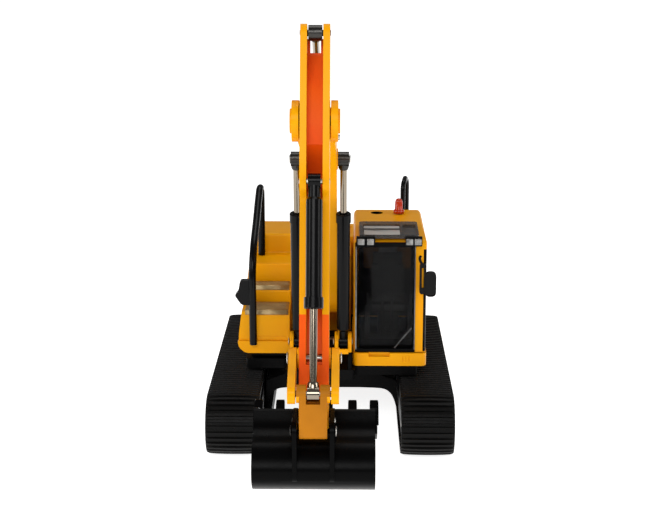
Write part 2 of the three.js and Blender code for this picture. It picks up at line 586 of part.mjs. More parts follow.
function bucket() {
  const left = BOOM_X - BUCKET_HALF;
  const right = BOOM_X + BUCKET_HALF;
  const wall = 1.2;
  const outerCurve = [
    [-131, 44.9], [-133.6, 41.2], [-137, 39.4], [-141.6, 38.6], [-145, 36], [-147, 32.4], [-146.4, 28.8],
    [-143, 25.6], [-138, 23.3], [-131, 22.1], [-123, 21.9], [-117.6, 23.3], [-113.4, 26.6], [-106.4, 35.6],
  ];
  const mouthEdge = [[-107.6, 36.6], [-129.6, 45.4]];
  const shell = plateYZ(orient([...outerCurve, ...mouthEdge]), left, right);
  const centre = [-127, 33];
  const innerCurve = outerCurve.slice(1, -1).map(([y, z]) => {
    const reach = Math.hypot(y - centre[0], z - centre[1]);
    const scale = (reach - wall) / reach;
    return [centre[0] + (y - centre[0]) * scale, centre[1] + (z - centre[1]) * scale];
  });
  const hollow = plateYZ(orient([[-129.4, 46.4], ...innerCurve, [-107.9, 37.4], [-104, 60], [-126, 66]]),
    left + wall, right - wall);
  const toothHalf = 1.35;
  const toothOutline = orient([[-109.2, 32.6], [-107, 31.6], [-104.2, 39], [-104.9, 39.2], [-108.6, 36]]);
  const teeth = TOOTH_OFFSETS.map((offset) => {
    const middle = BOOM_X + offset;
    return plateYZ(toothOutline, middle - toothHalf, middle + toothHalf);
  });
  const cutters = [-1, 1].map((side) => {
    const inner = BOOM_X + side * (BUCKET_HALF - 0.6);
    const outer = BOOM_X + side * (BUCKET_HALF + 0.9);
    return plateYZ(orient([[-106.8, 36.9], [-108.8, 34], [-116.5, 30.6], [-123, 35], [-121, 42.4]]),
      Math.min(inner, outer), Math.max(inner, outer));
  });
  const ears = [-1, 1].map((side) => {
    const inner = BOOM_X + side * (STICK_HALF + 0.4);
    const outer = BOOM_X + side * 6;
    const outline = hullOutline([
      [...BUCKET_PIVOT, 3.3], [...LINK_PIVOT, 3], [-133, 44, 2.4], [-140, 34, 4], [-144, 31.6, 3.6],
    ]);
    return plateYZ(outline, Math.min(inner, outer), Math.max(inner, outer)).subtract(hollow);
  });
  const bores = [pinX(BUCKET_PIVOT, -WIDE, WIDE, LINK_BORE), pinX(LINK_PIVOT, -WIDE, WIDE, 0.95)];
  part("bucket", cut(join(cut(shell, hollow), ...teeth, ...cutters, ...ears), ...bores), blackGloss);
  const pinEnd = 6.7;
  part("link_pivot_pin", headedPin(LINK_PIVOT, BOOM_X - pinEnd, BOOM_X + pinEnd, 0.7, 1.6, 0.4), steel);
}

undercarriage();
deck();
bodywork();
cab();
boom();
liftCylinders();
armCylinder();
stick();
bucketLinkage();
bucket();

export default group;
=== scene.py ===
"""Looks for the toy crawler excavator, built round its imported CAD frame.

Lengths are millimetres until a piece is placed. The floor, lights and camera are in metres.
"""
import json
import math

import bmesh
import bpy
from mathutils import Matrix, Vector


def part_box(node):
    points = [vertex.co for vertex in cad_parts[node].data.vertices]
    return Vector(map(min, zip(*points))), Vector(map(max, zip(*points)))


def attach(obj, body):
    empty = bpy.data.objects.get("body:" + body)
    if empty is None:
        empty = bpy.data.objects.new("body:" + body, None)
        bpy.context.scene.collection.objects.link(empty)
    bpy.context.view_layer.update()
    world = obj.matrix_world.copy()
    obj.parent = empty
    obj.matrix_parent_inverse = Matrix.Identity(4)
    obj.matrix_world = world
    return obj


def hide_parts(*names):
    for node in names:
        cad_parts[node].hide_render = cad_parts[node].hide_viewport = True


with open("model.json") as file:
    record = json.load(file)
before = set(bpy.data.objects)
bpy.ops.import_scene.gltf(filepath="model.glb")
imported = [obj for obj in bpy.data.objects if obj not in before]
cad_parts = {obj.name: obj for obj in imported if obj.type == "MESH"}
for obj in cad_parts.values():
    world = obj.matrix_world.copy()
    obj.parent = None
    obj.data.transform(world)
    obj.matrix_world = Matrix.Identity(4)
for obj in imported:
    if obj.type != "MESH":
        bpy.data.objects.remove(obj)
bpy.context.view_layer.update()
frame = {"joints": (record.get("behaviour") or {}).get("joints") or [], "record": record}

MM = 0.001
ARC = 48                      # segments in a full circle
BODY_OF = {node: body for body, nodes in frame["record"]["behaviour"]["bodies"].items() for node in nodes}


def pivot(joint_name):
    """A joint's place in the swing plane, as (y, z) in millimetres."""
    place = next(j["pos_m"] for j in frame["joints"] if j["name"] == joint_name)
    return (place[1] / MM, place[2] / MM)


def extent(node):
    """A CAD node's box in millimetres: (x0, x1, y0, y1, z0, z1)."""
    low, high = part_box(node)
    return tuple(value / MM for pair in zip(low, high) for value in pair)


# Pivots of the working gear, read from the frame
BOOM_FOOT = pivot("boom_lift")
LIFT_FOOT = pivot("lift_barrel_left_swing")
LIFT_EYE = pivot("lift_rod_left_swing")
ARM_FOOT = pivot("arm_barrel_swing")
STICK_PIVOT = pivot("stick_swing")
ARM_EYE = pivot("arm_rod_swing")
BUCKET_CYL_FOOT = pivot("bucket_barrel_swing")
ROCKER_PIVOT = pivot("rocker_swing")
ROD_END = pivot("link_swing")
BUCKET_PIVOT = pivot("bucket_curl")
_link_pin = extent("link_pivot_pin")
LINK_PIVOT = ((_link_pin[2] + _link_pin[3]) / 2, (_link_pin[4] + _link_pin[5]) / 2)

_boom_pin = extent("boom_foot_pin")
BOOM_X = (_boom_pin[0] + _boom_pin[1]) / 2
LIFT_X = 8.0
BOOM_HALF = 5.7
FORK_HALF = 6.7
FORK_SLOT = 4.65
STICK_HALF = 4.3
CHANNEL_HALF = 2.35
ROD_SLOT = 1.55
SLOT_END = -20.2
BUCKET_HALF = 17.75
TOOTH_OFFSETS = (-17.9, -11.2, -3.73, 3.73, 11.2, 17.9)
DECK_BOTTOM = 24.0
DECK_TOP = 27.7
GAP = 0.3


# ---------------------------------------------------------------- solids
def linked(name, data):
    """A new object in the scene that holds a mesh, curve, light or camera."""
    obj = bpy.data.objects.new(name, data)
    bpy.context.collection.objects.link(obj)
    return obj


def evaluated_mesh(obj):
    """The mesh that an object has once its modifiers have run."""
    bpy.context.view_layer.update()
    return bpy.data.meshes.new_from_object(obj.evaluated_get(bpy.context.evaluated_depsgraph_get()))


def closed_object(name, mesh):
    """An object of a mesh whose double points are merged and whose faces point out."""
    work = bmesh.new()
    work.from_mesh(mesh)
    bmesh.ops.remove_doubles(work, verts=work.verts, dist=1e-4)
    bmesh.ops.recalc_face_normals(work, faces=work.faces)
    work.to_mesh(mesh)
    work.free()
    return linked(name, mesh)


def new_object(verts, faces):
    mesh = bpy.data.meshes.new("solid")
    mesh.from_pydata(verts, [], faces)
    return closed_object("solid", mesh)


def prism(outline, low, high, place):
    count = len(outline)
    verts = [place(a, b, low) for a, b in outline] + [place(a, b, high) for a, b in outline]
    sides = [(i, (i + 1) % count, count + (i + 1) % count, count + i) for i in range(count)]
    return new_object(verts, [tuple(range(count)), tuple(range(count, 2 * count))] + sides)


def plate_yz(outline, x0, x1):
    return prism(outline, x0, x1, lambda a, b, c: (c, a, b))


def plate_xz(outline, y0, y1):
    return prism(outline, y0, y1, lambda a, b, c: (a, c, b))


def plate_xy(outline, z0, z1):
    return prism(outline, z0, z1, lambda a, b, c: (a, b, c))


def block(x0, x1, y0, y1, z0, z1):
    return plate_xy([(x0, y0), (x1, y0), (x1, y1), (x0, y1)], z0, z1)


def circle(a, b, radius, segments=ARC):
    turns = [2 * math.pi * i / segments for i in range(segments)]
    return [(a + radius * math.cos(t), b + radius * math.sin(t)) for t in turns]


def hull(discs, segments=ARC):
    """Outline round a set of discs (a, b, radius), as a tight string would run."""
    points = sorted(p for a, b, r in discs for p in circle(a, b, r, segments))

    def chain(ordered):
        kept = []
        for p in ordered:
            while len(kept) > 1 and cross(kept[-2], kept[-1], p) <= 1e-7:
                kept.pop()
            kept.append(p)
        return kept[:-1]

    return chain(points) + chain(points[::-1])


def cross(o, p, q):
    return (p[0] - o[0]) * (q[1] - o[1]) - (p[1] - o[1]) * (q[0] - o[0])


def rounded(points, radius, steps=6):
    """A polygon with its corners rounded. radius is one number, or one for each corner."""
    radii = radius if isinstance(radius, (list, tuple)) else [radius] * len(points)
    result = []
    for i, corner in enumerate(points):
        here = Vector(corner)
        before = Vector(points[i - 1]) - here
        after = Vector(points[(i + 1) % len(points)]) - here
        reach = min(radii[i], before.length * 0.45, after.length * 0.45)
        start = here + before.normalized() * reach
        end = here + after.normalized() * reach
        for k in range(steps + 1):
            t = k / steps
            result.append(tuple((1 - t) ** 2 * start + 2 * t * (1 - t) * here + t * t * end))
    return result


def smooth_curve(points, steps=6):
    """An open outline that runs smoothly through all its points."""
    knots = [points[0]] + list(points) + [points[-1]]
    result = []
    for i in range(1, len(knots) - 2):
        p, q, r, s = (Vector(k) for k in knots[i - 1:i + 3])
        for k in range(steps):
            t = k / steps
            result.append(tuple(0.5 * (2 * q + (r - p) * t + (2 * p - 5 * q + 4 * r - s) * t * t
                                       + (3 * q - p - 3 * r + s) * t ** 3)))
    return result + [tuple(points[-1])]


def rect(a0, a1, b0, b1, radius):
    return rounded([(a0, b0), (a1, b0), (a1, b1), (a0, b1)], radius)


def link(discs, x0, x1):
    return plate_yz(hull(discs), x0, x1)


def pin_x(place, x0, x1, radius, segments=ARC):
    return plate_yz(circle(place[0], place[1], radius, segments), x0, x1)


def across(half):
    """The span of a piece that lies evenly about the boom's middle plane."""
    return (BOOM_X - half, BOOM_X + half)


def bore(place, radius):
    """A round cutter right across the working gear."""
    return pin_x(place, -20, 20, radius)


def upright(x, y, z0, z1, radius, segments=ARC):
    return plate_xy(circle(x, y, radius, segments), z0, z1)


def turned(profile, start, end, segments=ARC):
    """A turned piece: profile is (distance along the axis, radius), from start towards end."""
    axis = (Vector(end) - Vector(start)).normalized()
    side = axis.orthogonal().normalized()
    other = axis.cross(side)
    verts = []
    for distance, radius in profile:
        for i in range(segments):
            t = 2 * math.pi * i / segments
            offset = side * math.cos(t) + other * math.sin(t)
            verts.append(tuple(Vector(start) + axis * distance + offset * radius))
    faces = [tuple(range(segments)), tuple(range(len(verts) - segments, len(verts)))]
    for ring in range(len(profile) - 1):
        for i in range(segments):
            j = (i + 1) % segments
            base = ring * segments
            faces.append((base + i, base + j, base + segments + j, base + segments + i))
    return new_object(verts, faces)


def bar(points, radius, sides=16, steps=10):
    """A round bar along a smooth curve through 3-D points, with flat ends."""
    curve = bpy.data.curves.new("bar", "CURVE")
    curve.dimensions = "3D"
    spline = curve.splines.new("BEZIER")
    spline.bezier_points.add(len(points) - 1)
    for knot, place in zip(spline.bezier_points, points):
        knot.co = place
        knot.handle_left_type = knot.handle_right_type = "AUTO"
    curve.resolution_u = steps
    curve.bevel_depth = radius
    curve.bevel_resolution = sides // 4
    curve.use_fill_caps = True
    obj = linked("bar", curve)
    mesh = evaluated_mesh(obj)
    bpy.data.objects.remove(obj)
    return closed_object("bar", mesh)


def combine(base, tools, operation):
    for tool in tools:
        step = base.modifiers.new("combine", "BOOLEAN")
        step.operation = operation
        step.object = tool
        step.solver = "MANIFOLD"
    mesh = evaluated_mesh(base)
    base.modifiers.clear()
    base.data = mesh
    for tool in tools:
        bpy.data.objects.remove(tool)
    return base


def twin(obj):
    """A copy of a solid, because every boolean uses its tools up."""
    second = obj.copy()
    second.data = obj.data.copy()
    bpy.context.collection.objects.link(second)
    return second


def join(base, *others):
    return combine(base, others, "UNION") if others else base


def cut(base, *tools):
    return combine(base, tools, "DIFFERENCE")


def common(base, other):
    return combine(base, [other], "INTERSECT")


def gather(*objects):
    """One mesh that holds several closed bodies as they are."""
    work = bmesh.new()
    for obj in objects:
        work.from_mesh(obj.data)
    mesh = bpy.data.meshes.new("gathered")
    work.to_mesh(mesh)
    work.free()
    for obj in objects:
        bpy.data.objects.remove(obj)
    return linked("gathered", mesh)


def place(obj, name, node, material, edge=0.22, more_nodes=(), segments=3, angle=32):
    """Bevels a piece's edges, gives it its material and lets it ride on its CAD node's body."""
    work = bmesh.new()
    work.from_mesh(obj.data)
    bmesh.ops.remove_doubles(work, verts=work.verts, dist=2e-3)
    bmesh.ops.dissolve_limit(work, angle_limit=math.radians(0.6), verts=work.verts, edges=work.edges)
    for face in work.faces:
        face.smooth = True
    work.to_mesh(obj.data)
    work.free()
    obj.data.transform(Matrix.Scale(MM, 4))
    if edge:
        soften = obj.modifiers.new("soften", "BEVEL")
        soften.width = edge * MM
        soften.segments = segments
        soften.limit_method = "ANGLE"
        soften.angle_limit = math.radians(angle)
        soften.harden_normals = True
        soften.miter_outer = "MITER_ARC"
    mesh = evaluated_mesh(obj)
    obj.modifiers.clear()
    obj.data = mesh
    obj.name = name
    mesh.name = name
    mesh.materials.clear()
    mesh.materials.append(material)
    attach(obj, BODY_OF[node])
    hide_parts(node, *more_nodes)
    return obj


def extra_piece(obj, name, node, finish, edge):
    """A small visible piece whose space a CAD node already holds, so it replaces none."""
    work = bmesh.new()
    work.from_mesh(obj.data)
    if edge:
        bmesh.ops.bevel(work, geom=work.edges[:], offset=edge, segments=2, affect="EDGES", profile=0.5)
    for face in work.faces:
        face.smooth = True
    work.to_mesh(obj.data)
    work.free()
    obj.data.transform(Matrix.Scale(MM, 4))
    obj.name = name
    obj.data.materials.clear()
    obj.data.materials.append(finish)
    for face in obj.data.polygons:
        face.material_index = 0
    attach(obj, BODY_OF[node])


# ---------------------------------------------------------------- materials
def set_inputs(node, **values):
    """Sets a shader node's inputs by name, with _ for each space in a name."""
    for name, value in values.items():
        node.inputs[name.replace("_", " ")].default_value = value


def material(name, colour, roughness, metallic=0.0, coat=0.0, coat_roughness=0.05, tint=None, tint_scale=60.0,
             tint_amount=0.3, bump_scale=900.0, bump=0.04, rough_spread=0.08, alpha=None, grain=None,
             shine=0.5):
    """A moulded or painted finish: cloudy colour, uneven gloss and a fine surface from noise."""
    result = bpy.data.materials.new(name)
    result.use_nodes = True
    nodes = result.node_tree.nodes
    links = result.node_tree.links
    shader = nodes["Principled BSDF"]
    set_inputs(shader, Metallic=metallic, Specular_IOR_Level=shine, Coat_Weight=coat,
               Coat_Roughness=coat_roughness)
    where = nodes.new("ShaderNodeTexCoord").outputs["Object"]

    def noise(scale, detail, vector=where):
        texture = nodes.new("ShaderNodeTexNoise")
        set_inputs(texture, Scale=scale, Detail=detail)
        links.new(vector, texture.inputs["Vector"])
        return texture.outputs["Fac"]

    blend = nodes.new("ShaderNodeMix")
    blend.data_type = "RGBA"
    other = tint or tuple(c * 0.8 for c in colour)
    set_inputs(blend, A=(*colour, 1.0), B=(*other, 1.0))
    spread = nodes.new("ShaderNodeMapRange")
    set_inputs(spread, From_Min=0.4, From_Max=0.75, To_Max=tint_amount)
    links.new(noise(tint_scale, 5.0), spread.inputs["Value"])
    links.new(spread.outputs["Result"], blend.inputs["Factor"])
    links.new(blend.outputs["Result"], shader.inputs["Base Color"])

    gloss = nodes.new("ShaderNodeMapRange")
    set_inputs(gloss, To_Min=max(0.02, roughness - rough_spread), To_Max=roughness + rough_spread)
    links.new(noise(tint_scale * 4.0, 3.0), gloss.inputs["Value"])
    links.new(gloss.outputs["Result"], shader.inputs["Roughness"])

    vector = where
    if grain:
        stretch = nodes.new("ShaderNodeMapping")
        set_inputs(stretch, Scale=grain)
        links.new(where, stretch.inputs["Vector"])
        vector = stretch.outputs["Vector"]
    relief = nodes.new("ShaderNodeBump")
    set_inputs(relief, Strength=bump, Distance=0.0004)
    links.new(noise(bump_scale, 4.0, vector), relief.inputs["Height"])
    links.new(relief.outputs["Normal"], shader.inputs["Normal"])
    if alpha is not None:
        set_inputs(shader, Alpha=alpha)
    return result


YELLOW = material("yellow_paint", (0.8, 0.345, 0.001), 0.34, coat=0.02, coat_roughness=0.15, shine=0.08,
                  tint=(0.9, 0.32, 0.003), tint_scale=45.0, tint_amount=0.5, bump_scale=700.0, bump=0.05)
# painted shade: a deeper red-orange copy of the yellow paint that stands in for the shade and reddened bounce
# light in the stick's channel
PAINTED_RECESS_SHADE = material("yellow_paint_painted_recess_shade", (0.8, 0.12, 0.001), 0.45, shine=0.12, tint=(0.85, 0.05, 0.0),
                  tint_scale=30.0, tint_amount=0.9, bump_scale=700.0, bump=0.05)
# painted shade: a darker copy of the yellow paint for the bucket link's shaded front faces
LINK_PAINTED_SHADE = material("yellow_paint_shaded", (0.36, 0.125, 0.002), 0.45, shine=0.12, tint=(0.55, 0.19, 0.002),
                     tint_scale=45.0, tint_amount=0.9, bump_scale=700.0, bump=0.05)
GLOSS_BLACK = material("gloss_black", (0.0016, 0.0016, 0.0018), 0.22, coat=0.0, shine=0.12,
                       tint=(0.0035, 0.0035, 0.0036), bump_scale=500.0, bump=0.04, rough_spread=0.05)
SEAT_BLACK = material("seat_black", (0.02, 0.021, 0.022), 0.22, shine=0.7, tint=(0.035, 0.036, 0.038),
                      tint_scale=90.0, bump_scale=500.0, bump=0.05)
BUCKET_BLACK = material("bucket_black", (0.0012, 0.0012, 0.0013), 0.3, coat=0.0, shine=0.04,
                        tint=(0.0024, 0.0024, 0.0025), tint_scale=120.0, bump_scale=700.0, bump=0.05,
                        rough_spread=0.06)
SATIN_BLACK = material("satin_black", (0.0016, 0.0016, 0.0017), 0.42, shine=0.06,
                       tint=(0.0034, 0.0034, 0.0035), bump_scale=1500.0, bump=0.12)
RUBBER = material("track_rubber", (0.002, 0.002, 0.0019), 0.42, shine=0.1, tint=(0.0055, 0.005, 0.0042),
                  tint_scale=90.0, tint_amount=0.6, bump_scale=2200.0, bump=0.25, rough_spread=0.12)
CHROME = material("chrome_rod", (0.26, 0.22, 0.17), 0.12, metallic=1.0, tint=(0.17, 0.14, 0.1),
                  bump_scale=900.0, bump=0.02, rough_spread=0.04, grain=(1.0, 1.0, 0.1))
STEEL = material("pin_steel", (0.5, 0.48, 0.44), 0.3, metallic=1.0, tint=(0.34, 0.32, 0.29),
                 bump_scale=1800.0, bump=0.1, grain=(0.3, 1.0, 1.0))
DARK_STEEL = material("dark_steel", (0.05, 0.048, 0.045), 0.3, metallic=1.0, tint=(0.02, 0.02, 0.018),
                      bump_scale=1500.0, bump=0.15)
TREAD = material("tread_metal", (0.34, 0.24, 0.11), 0.35, metallic=0.6, tint=(0.55, 0.42, 0.22),
                 tint_scale=300.0, tint_amount=0.8, bump_scale=1200.0, bump=0.5)
AMBER = material("amber_lens", (0.5, 0.03, 0.001), 0.14, coat=0.3, shine=0.4, tint=(0.2, 0.008, 0.001),
                 tint_scale=200.0, tint_amount=0.7, bump_scale=600.0, bump=0.05)
# silver of the work lamps, also used for the painted highlight strips beside the windscreen
LAMP_SILVER_AND_HIGHLIGHT = material("lamp_reflector_and_painted_highlight", (0.3, 0.3, 0.29), 0.2, metallic=0.7, tint=(0.12, 0.12, 0.12),
                       tint_scale=600.0, tint_amount=0.9, bump_scale=1500.0, bump=0.4)
GLASS = material("window_clear", (0.003, 0.003, 0.0034), 0.05, coat=0.0, shine=0.12,
                 tint=(0.0015, 0.0015, 0.002), bump_scale=200.0, bump=0.02, rough_spread=0.02, alpha=0.42)
SMOKED = material("visor_smoked", (0.035, 0.032, 0.03), 0.12, coat=0.1, tint=(0.16, 0.14, 0.12),
                  tint_scale=60.0, bump_scale=250.0, bump=0.1, rough_spread=0.05, alpha=0.7, shine=0.2)
# painted reflection: the clear visor panes get a pale, nearly opaque grey that stands in for the white
# surroundings mirrored in them
VISOR_PAINTED_REFLECTION = material("visor_clear_painted_reflection", (0.5, 0.49, 0.47), 0.08, coat=0.2, tint=(0.3, 0.28, 0.25), bump_scale=250.0,
                 bump=0.06, rough_spread=0.03, alpha=0.85)


def repaint(piece, finish, chosen):
    """Gives a second finish to the faces whose middle, in millimetres, passes the test."""
    piece.data.materials.append(finish)
    index = len(piece.data.materials) - 1
    for face in piece.data.polygons:
        if chosen(face.center / MM):
            face.material_index = index


# ---------------------------------------------------------------- undercarriage
TRACK_INNER = 24.6
TRACK_OUTER = 43.2
TRACK_RADIUS = 11.1
AXLE_Y = 49.0
BELT = 1.6
RIDGE_PITCH = 2.27


def side_span(sign, a, b):
    """A span measured outward from the middle of the machine, on the left (+1) or the right (-1)."""
    return (a, b) if sign > 0 else (-b, -a)


def track_path(distance, radius):
    """Place and outward direction at a distance round the belt, starting at the bottom front."""
    straight = 2 * AXLE_Y
    arc = math.pi * TRACK_RADIUS
    lap = 2 * (straight + arc)
    d = distance % lap
    if d < straight:
        return (-AXLE_Y + d, TRACK_RADIUS - radius), (0.0, -1.0)
    d -= straight
    if d < arc:
        t = -math.pi / 2 + d / TRACK_RADIUS
        out = (math.cos(t), math.sin(t))
        return (AXLE_Y + radius * out[0], TRACK_RADIUS + radius * out[1]), out
    d -= arc
    if d < straight:
        return (AXLE_Y - d, TRACK_RADIUS + radius), (0.0, 1.0)
    d -= straight
    t = math.pi / 2 + d / TRACK_RADIUS
    out = (math.cos(t), math.sin(t))
    return (-AXLE_Y + radius * out[0], TRACK_RADIUS + radius * out[1]), out


def track_belt(side, sign):
    x0, x1 = side_span(sign, TRACK_INNER, TRACK_OUTER)
    lap = 2 * (2 * AXLE_Y + math.pi * TRACK_RADIUS)
    count = round(lap / RIDGE_PITCH)
    skin = TRACK_RADIUS - 0.75
    inner = TRACK_RADIUS - BELT
    verts = []
    faces = []
    # cross-section stations over the belt's width: u from 0 to 1, crown lifts the middle
    stations = [0.0, 0.02, 0.06, 0.2, 0.35, 0.5, 0.65, 0.8, 0.94, 0.98, 1.0]
    profile = [(0.0, 0.0), (0.16, 0.0), (0.26, 1.0), (0.62, 1.0), (0.72, 0.0)]
    for i in range(count):
        for phase, lift in profile:
            distance = (i + phase) * lap / count
            for u in stations:
                edge = min(u, 1 - u)
                fall = min(1.0, edge / 0.06)
                crown = 0.32 + 0.43 * math.sin(math.pi * u) ** 0.5 if 0 < u < 1 else 0.32
                height = lift * crown * (0.35 + 0.65 * fall)
                (y, z), _ = track_path(distance, skin + height)
                verts.append((x0 + (x1 - x0) * u, y, z))
            for u in (1.0, 0.0):
                (y, z), _ = track_path(distance, inner)
                verts.append((x0 + (x1 - x0) * u, y, z))
    ring = len(stations) + 2
    total = count * len(profile)
    for row in range(total):
        after = (row + 1) % total
        for k in range(ring):
            n = (k + 1) % ring
            faces.append((row * ring + k, row * ring + n, after * ring + n, after * ring + k))
    belt = new_object(verts, faces)
    place(belt, f"belt_{side}", f"track_belt_{side}", RUBBER, edge=0)
    for face in belt.data.polygons:
        face.use_smooth = False


def track_wheels(side, sign):
    x0, x1 = side_span(sign, TRACK_INNER + 3.6, TRACK_OUTER - 1.2)
    rim = TRACK_RADIUS - BELT - GAP
    face = x1 if sign > 0 else x0
    deeper = -sign
    for node, y, lobes in ((f"drive_sprocket_{side}", AXLE_Y, 14), (f"idler_wheel_{side}", -AXLE_Y, 0)):
        axle = (y, TRACK_RADIUS)
        if lobes:
            outline = []
            for i in range(lobes * 12):
                t = 2 * math.pi * i / (lobes * 12)
                radius = rim - 0.5 + 0.5 * math.cos(lobes * t)
                outline.append((y + radius * math.cos(t), TRACK_RADIUS + radius * math.sin(t)))
            wheel = plate_yz(outline, x0, x1)
        else:
            wheel = pin_x(axle, x0, x1, rim, 72)
        dish = pin_x(axle, min(face, face + deeper * 1.3), max(face, face + deeper * 1.3) + 0.01, rim - 1.7,
                     72)
        dish.data.transform(Matrix.Translation((sign * 0.005, 0, 0)))
        wheel = cut(wheel, dish, pin_x(axle, x0 - 1, x1 + 1, 1.8))
        count = 10 if lobes else 5
        ring = 5.2
        bosses = []
        for i in range(count):
            t = 2 * math.pi * i / count
            at = (y + ring * math.cos(t), TRACK_RADIUS + ring * math.sin(t))
            low, high = sorted((face + deeper * 1.6, face + deeper * (0.75 if lobes else 0.2)))
            if lobes:
                bosses.append(pin_x(at, low, high, 0.55, 6))
            else:
                spoke = hull([(*at, 0.9), (y + 2.6 * math.cos(t), TRACK_RADIUS + 2.6 * math.sin(t), 1.1)], 20)
                bosses.append(plate_yz(spoke, low, high))
        low, high = sorted((face + deeper * 1.6, face))
        hub = cut(pin_x(axle, low, high, 3.3), pin_x(axle, x0 - 1, x1 + 1, 1.8))
        place(join(wheel, hub, *bosses), node.replace("_wheel", ""), node, SATIN_BLACK, edge=0.18)
        a0, a1 = side_span(sign, TRACK_INNER + 0.25, TRACK_OUTER - 0.4)
        cap = a1 if sign > 0 else a0
        shaft = turned([(0, 1.2), (0.2, 1.4), (abs(a1 - a0) - 0.75, 1.4), (abs(a1 - a0) - 0.7, 2.5),
                        (abs(a1 - a0) - 0.3, 2.5), (abs(a1 - a0), 2.1)],
                       (cap - sign * (a1 - a0), y, TRACK_RADIUS), (cap, y, TRACK_RADIUS))
        place(shaft, f"{node}_axle".replace("_wheel", ""), f"{node[:-len(side) - 1]}_axle_{side}", STEEL,
              edge=0)


def track_frame(side, sign):
    x0, x1 = side_span(sign, TRACK_INNER + GAP, TRACK_OUTER - 3)
    y = AXLE_Y
    beam = plate_yz(rounded([(-30, 7), (30, 7), (32.5, 11), (28, 15.6), (-28, 15.6), (-32.5, 11)], 2), x0, x1)
    a0, a1 = side_span(sign, TRACK_INNER + GAP, TRACK_INNER + 3.3)
    arms = link([(-y, TRACK_RADIUS, 3.4), (y, TRACK_RADIUS, 3.4)], a0, a1)
    skirt = plate_yz(rounded([(-29, 2.2), (29, 2.2), (31, 7.5), (-31, 7.5)], 1.2),
                     *sorted((x0 + sign * 3, x1 - sign * 3)))
    frame_body = join(beam, arms, skirt)
    face = x1 if sign > 0 else x0
    rollers = []
    for i in range(8):
        at = (-25.5 + i * 51 / 7, 4.2)
        low, high = sorted((face - sign * 4, face - sign * 0.6))
        rollers.append(pin_x(at, low, high, 2.1, 32))
        low, high = sorted((face - sign * 2, face - sign * 0.2))
        rollers.append(pin_x(at, low, high, 0.8, 20))
    for at in ((-12, 17.2), (12, 17.2)):
        low, high = sorted((face - sign * 8, face - sign * 2))
        rollers.append(pin_x(at, low, high, 1.7, 32))
    recess = plate_yz(rect(-24, 24, 9, 13.4, 1.5), *sorted((face - sign * 0.7, face + sign)))
    holes = [pin_x((at, TRACK_RADIUS), a0 - 1, a1 + 1, 1.8) for at in (-y, y)]
    frame_body = cut(join(frame_body, *rollers), recess, *holes)
    place(frame_body, f"frame_{side}", f"track_frame_{side}", SATIN_BLACK, edge=0.25)


def undercarriage():
    half = TRACK_INNER - GAP
    under = [(-half, 5.6), (-23.9, 7.2), (-23, 10), (-21.6, 12.2), (-18.7, 13.7), (-11, 14.1)]
    outline = smooth_curve(under) + smooth_curve([(-x, z) for x, z in under[::-1]])
    outline += rounded([(half, 16.5), (14, 20.5), (-14, 20.5), (-half, 16.5)], [0.2, 3, 3, 0.2])
    arch = plate_xz(outline, -19, 19)
    ribs = []
    for side in (-1, 1):
        for y in (-19, 19):
            rib = hull([(side * 12, y * 0.55, 2.2), (side * (half - 3), y * 0.87, 2.4)], 24)
            ribs.append(plate_xy(rib, 15, 17.6))
    post = upright(0, 0, 20, 22.2, 9.7, 64)
    centre = upright(0, 0, 13, 20.5, 14, 64)
    body = cut(join(arch, centre, post, *ribs), upright(0, 0, 10, 30, 2.9))
    place(body, "x_frame", "carbody", SATIN_BLACK, edge=0.4)
    ring = cut(upright(0, 0, 20.5 + GAP, DECK_BOTTOM - GAP, 15, 96), upright(0, 0, 18, 30, 10, 96))
    bolts = []
    for i in range(24):
        t = 2 * math.pi * i / 24
        bolts.append(upright(13.2 * math.cos(t), 13.2 * math.sin(t), 20.8, 21.6, 0.5, 6))
    place(join(ring, *bolts), "turntable_ring", "slew_ring", SATIN_BLACK, edge=0.15)
    pin = turned([(0, 4.0), (0.4, 4.6), (1.3, 4.6), (1.31, 2.6), (15.6, 2.6), (16, 2.2)], (0, 0, 11.4),
                 (0, 0, 30))
    place(pin, "slew_pin", "swivel_pin", STEEL, edge=0)
    for side, sign in (("left", 1), ("right", -1)):
        track_belt(side, sign)
        track_wheels(side, sign)
        track_frame(side, sign)


# ---------------------------------------------------------------- deck and bodywork
LIFT_SIDES = (("left", BOOM_X + LIFT_X), ("right", BOOM_X - LIFT_X))
LUG_PAINT = 33.6              # the lugs are yellow above this height


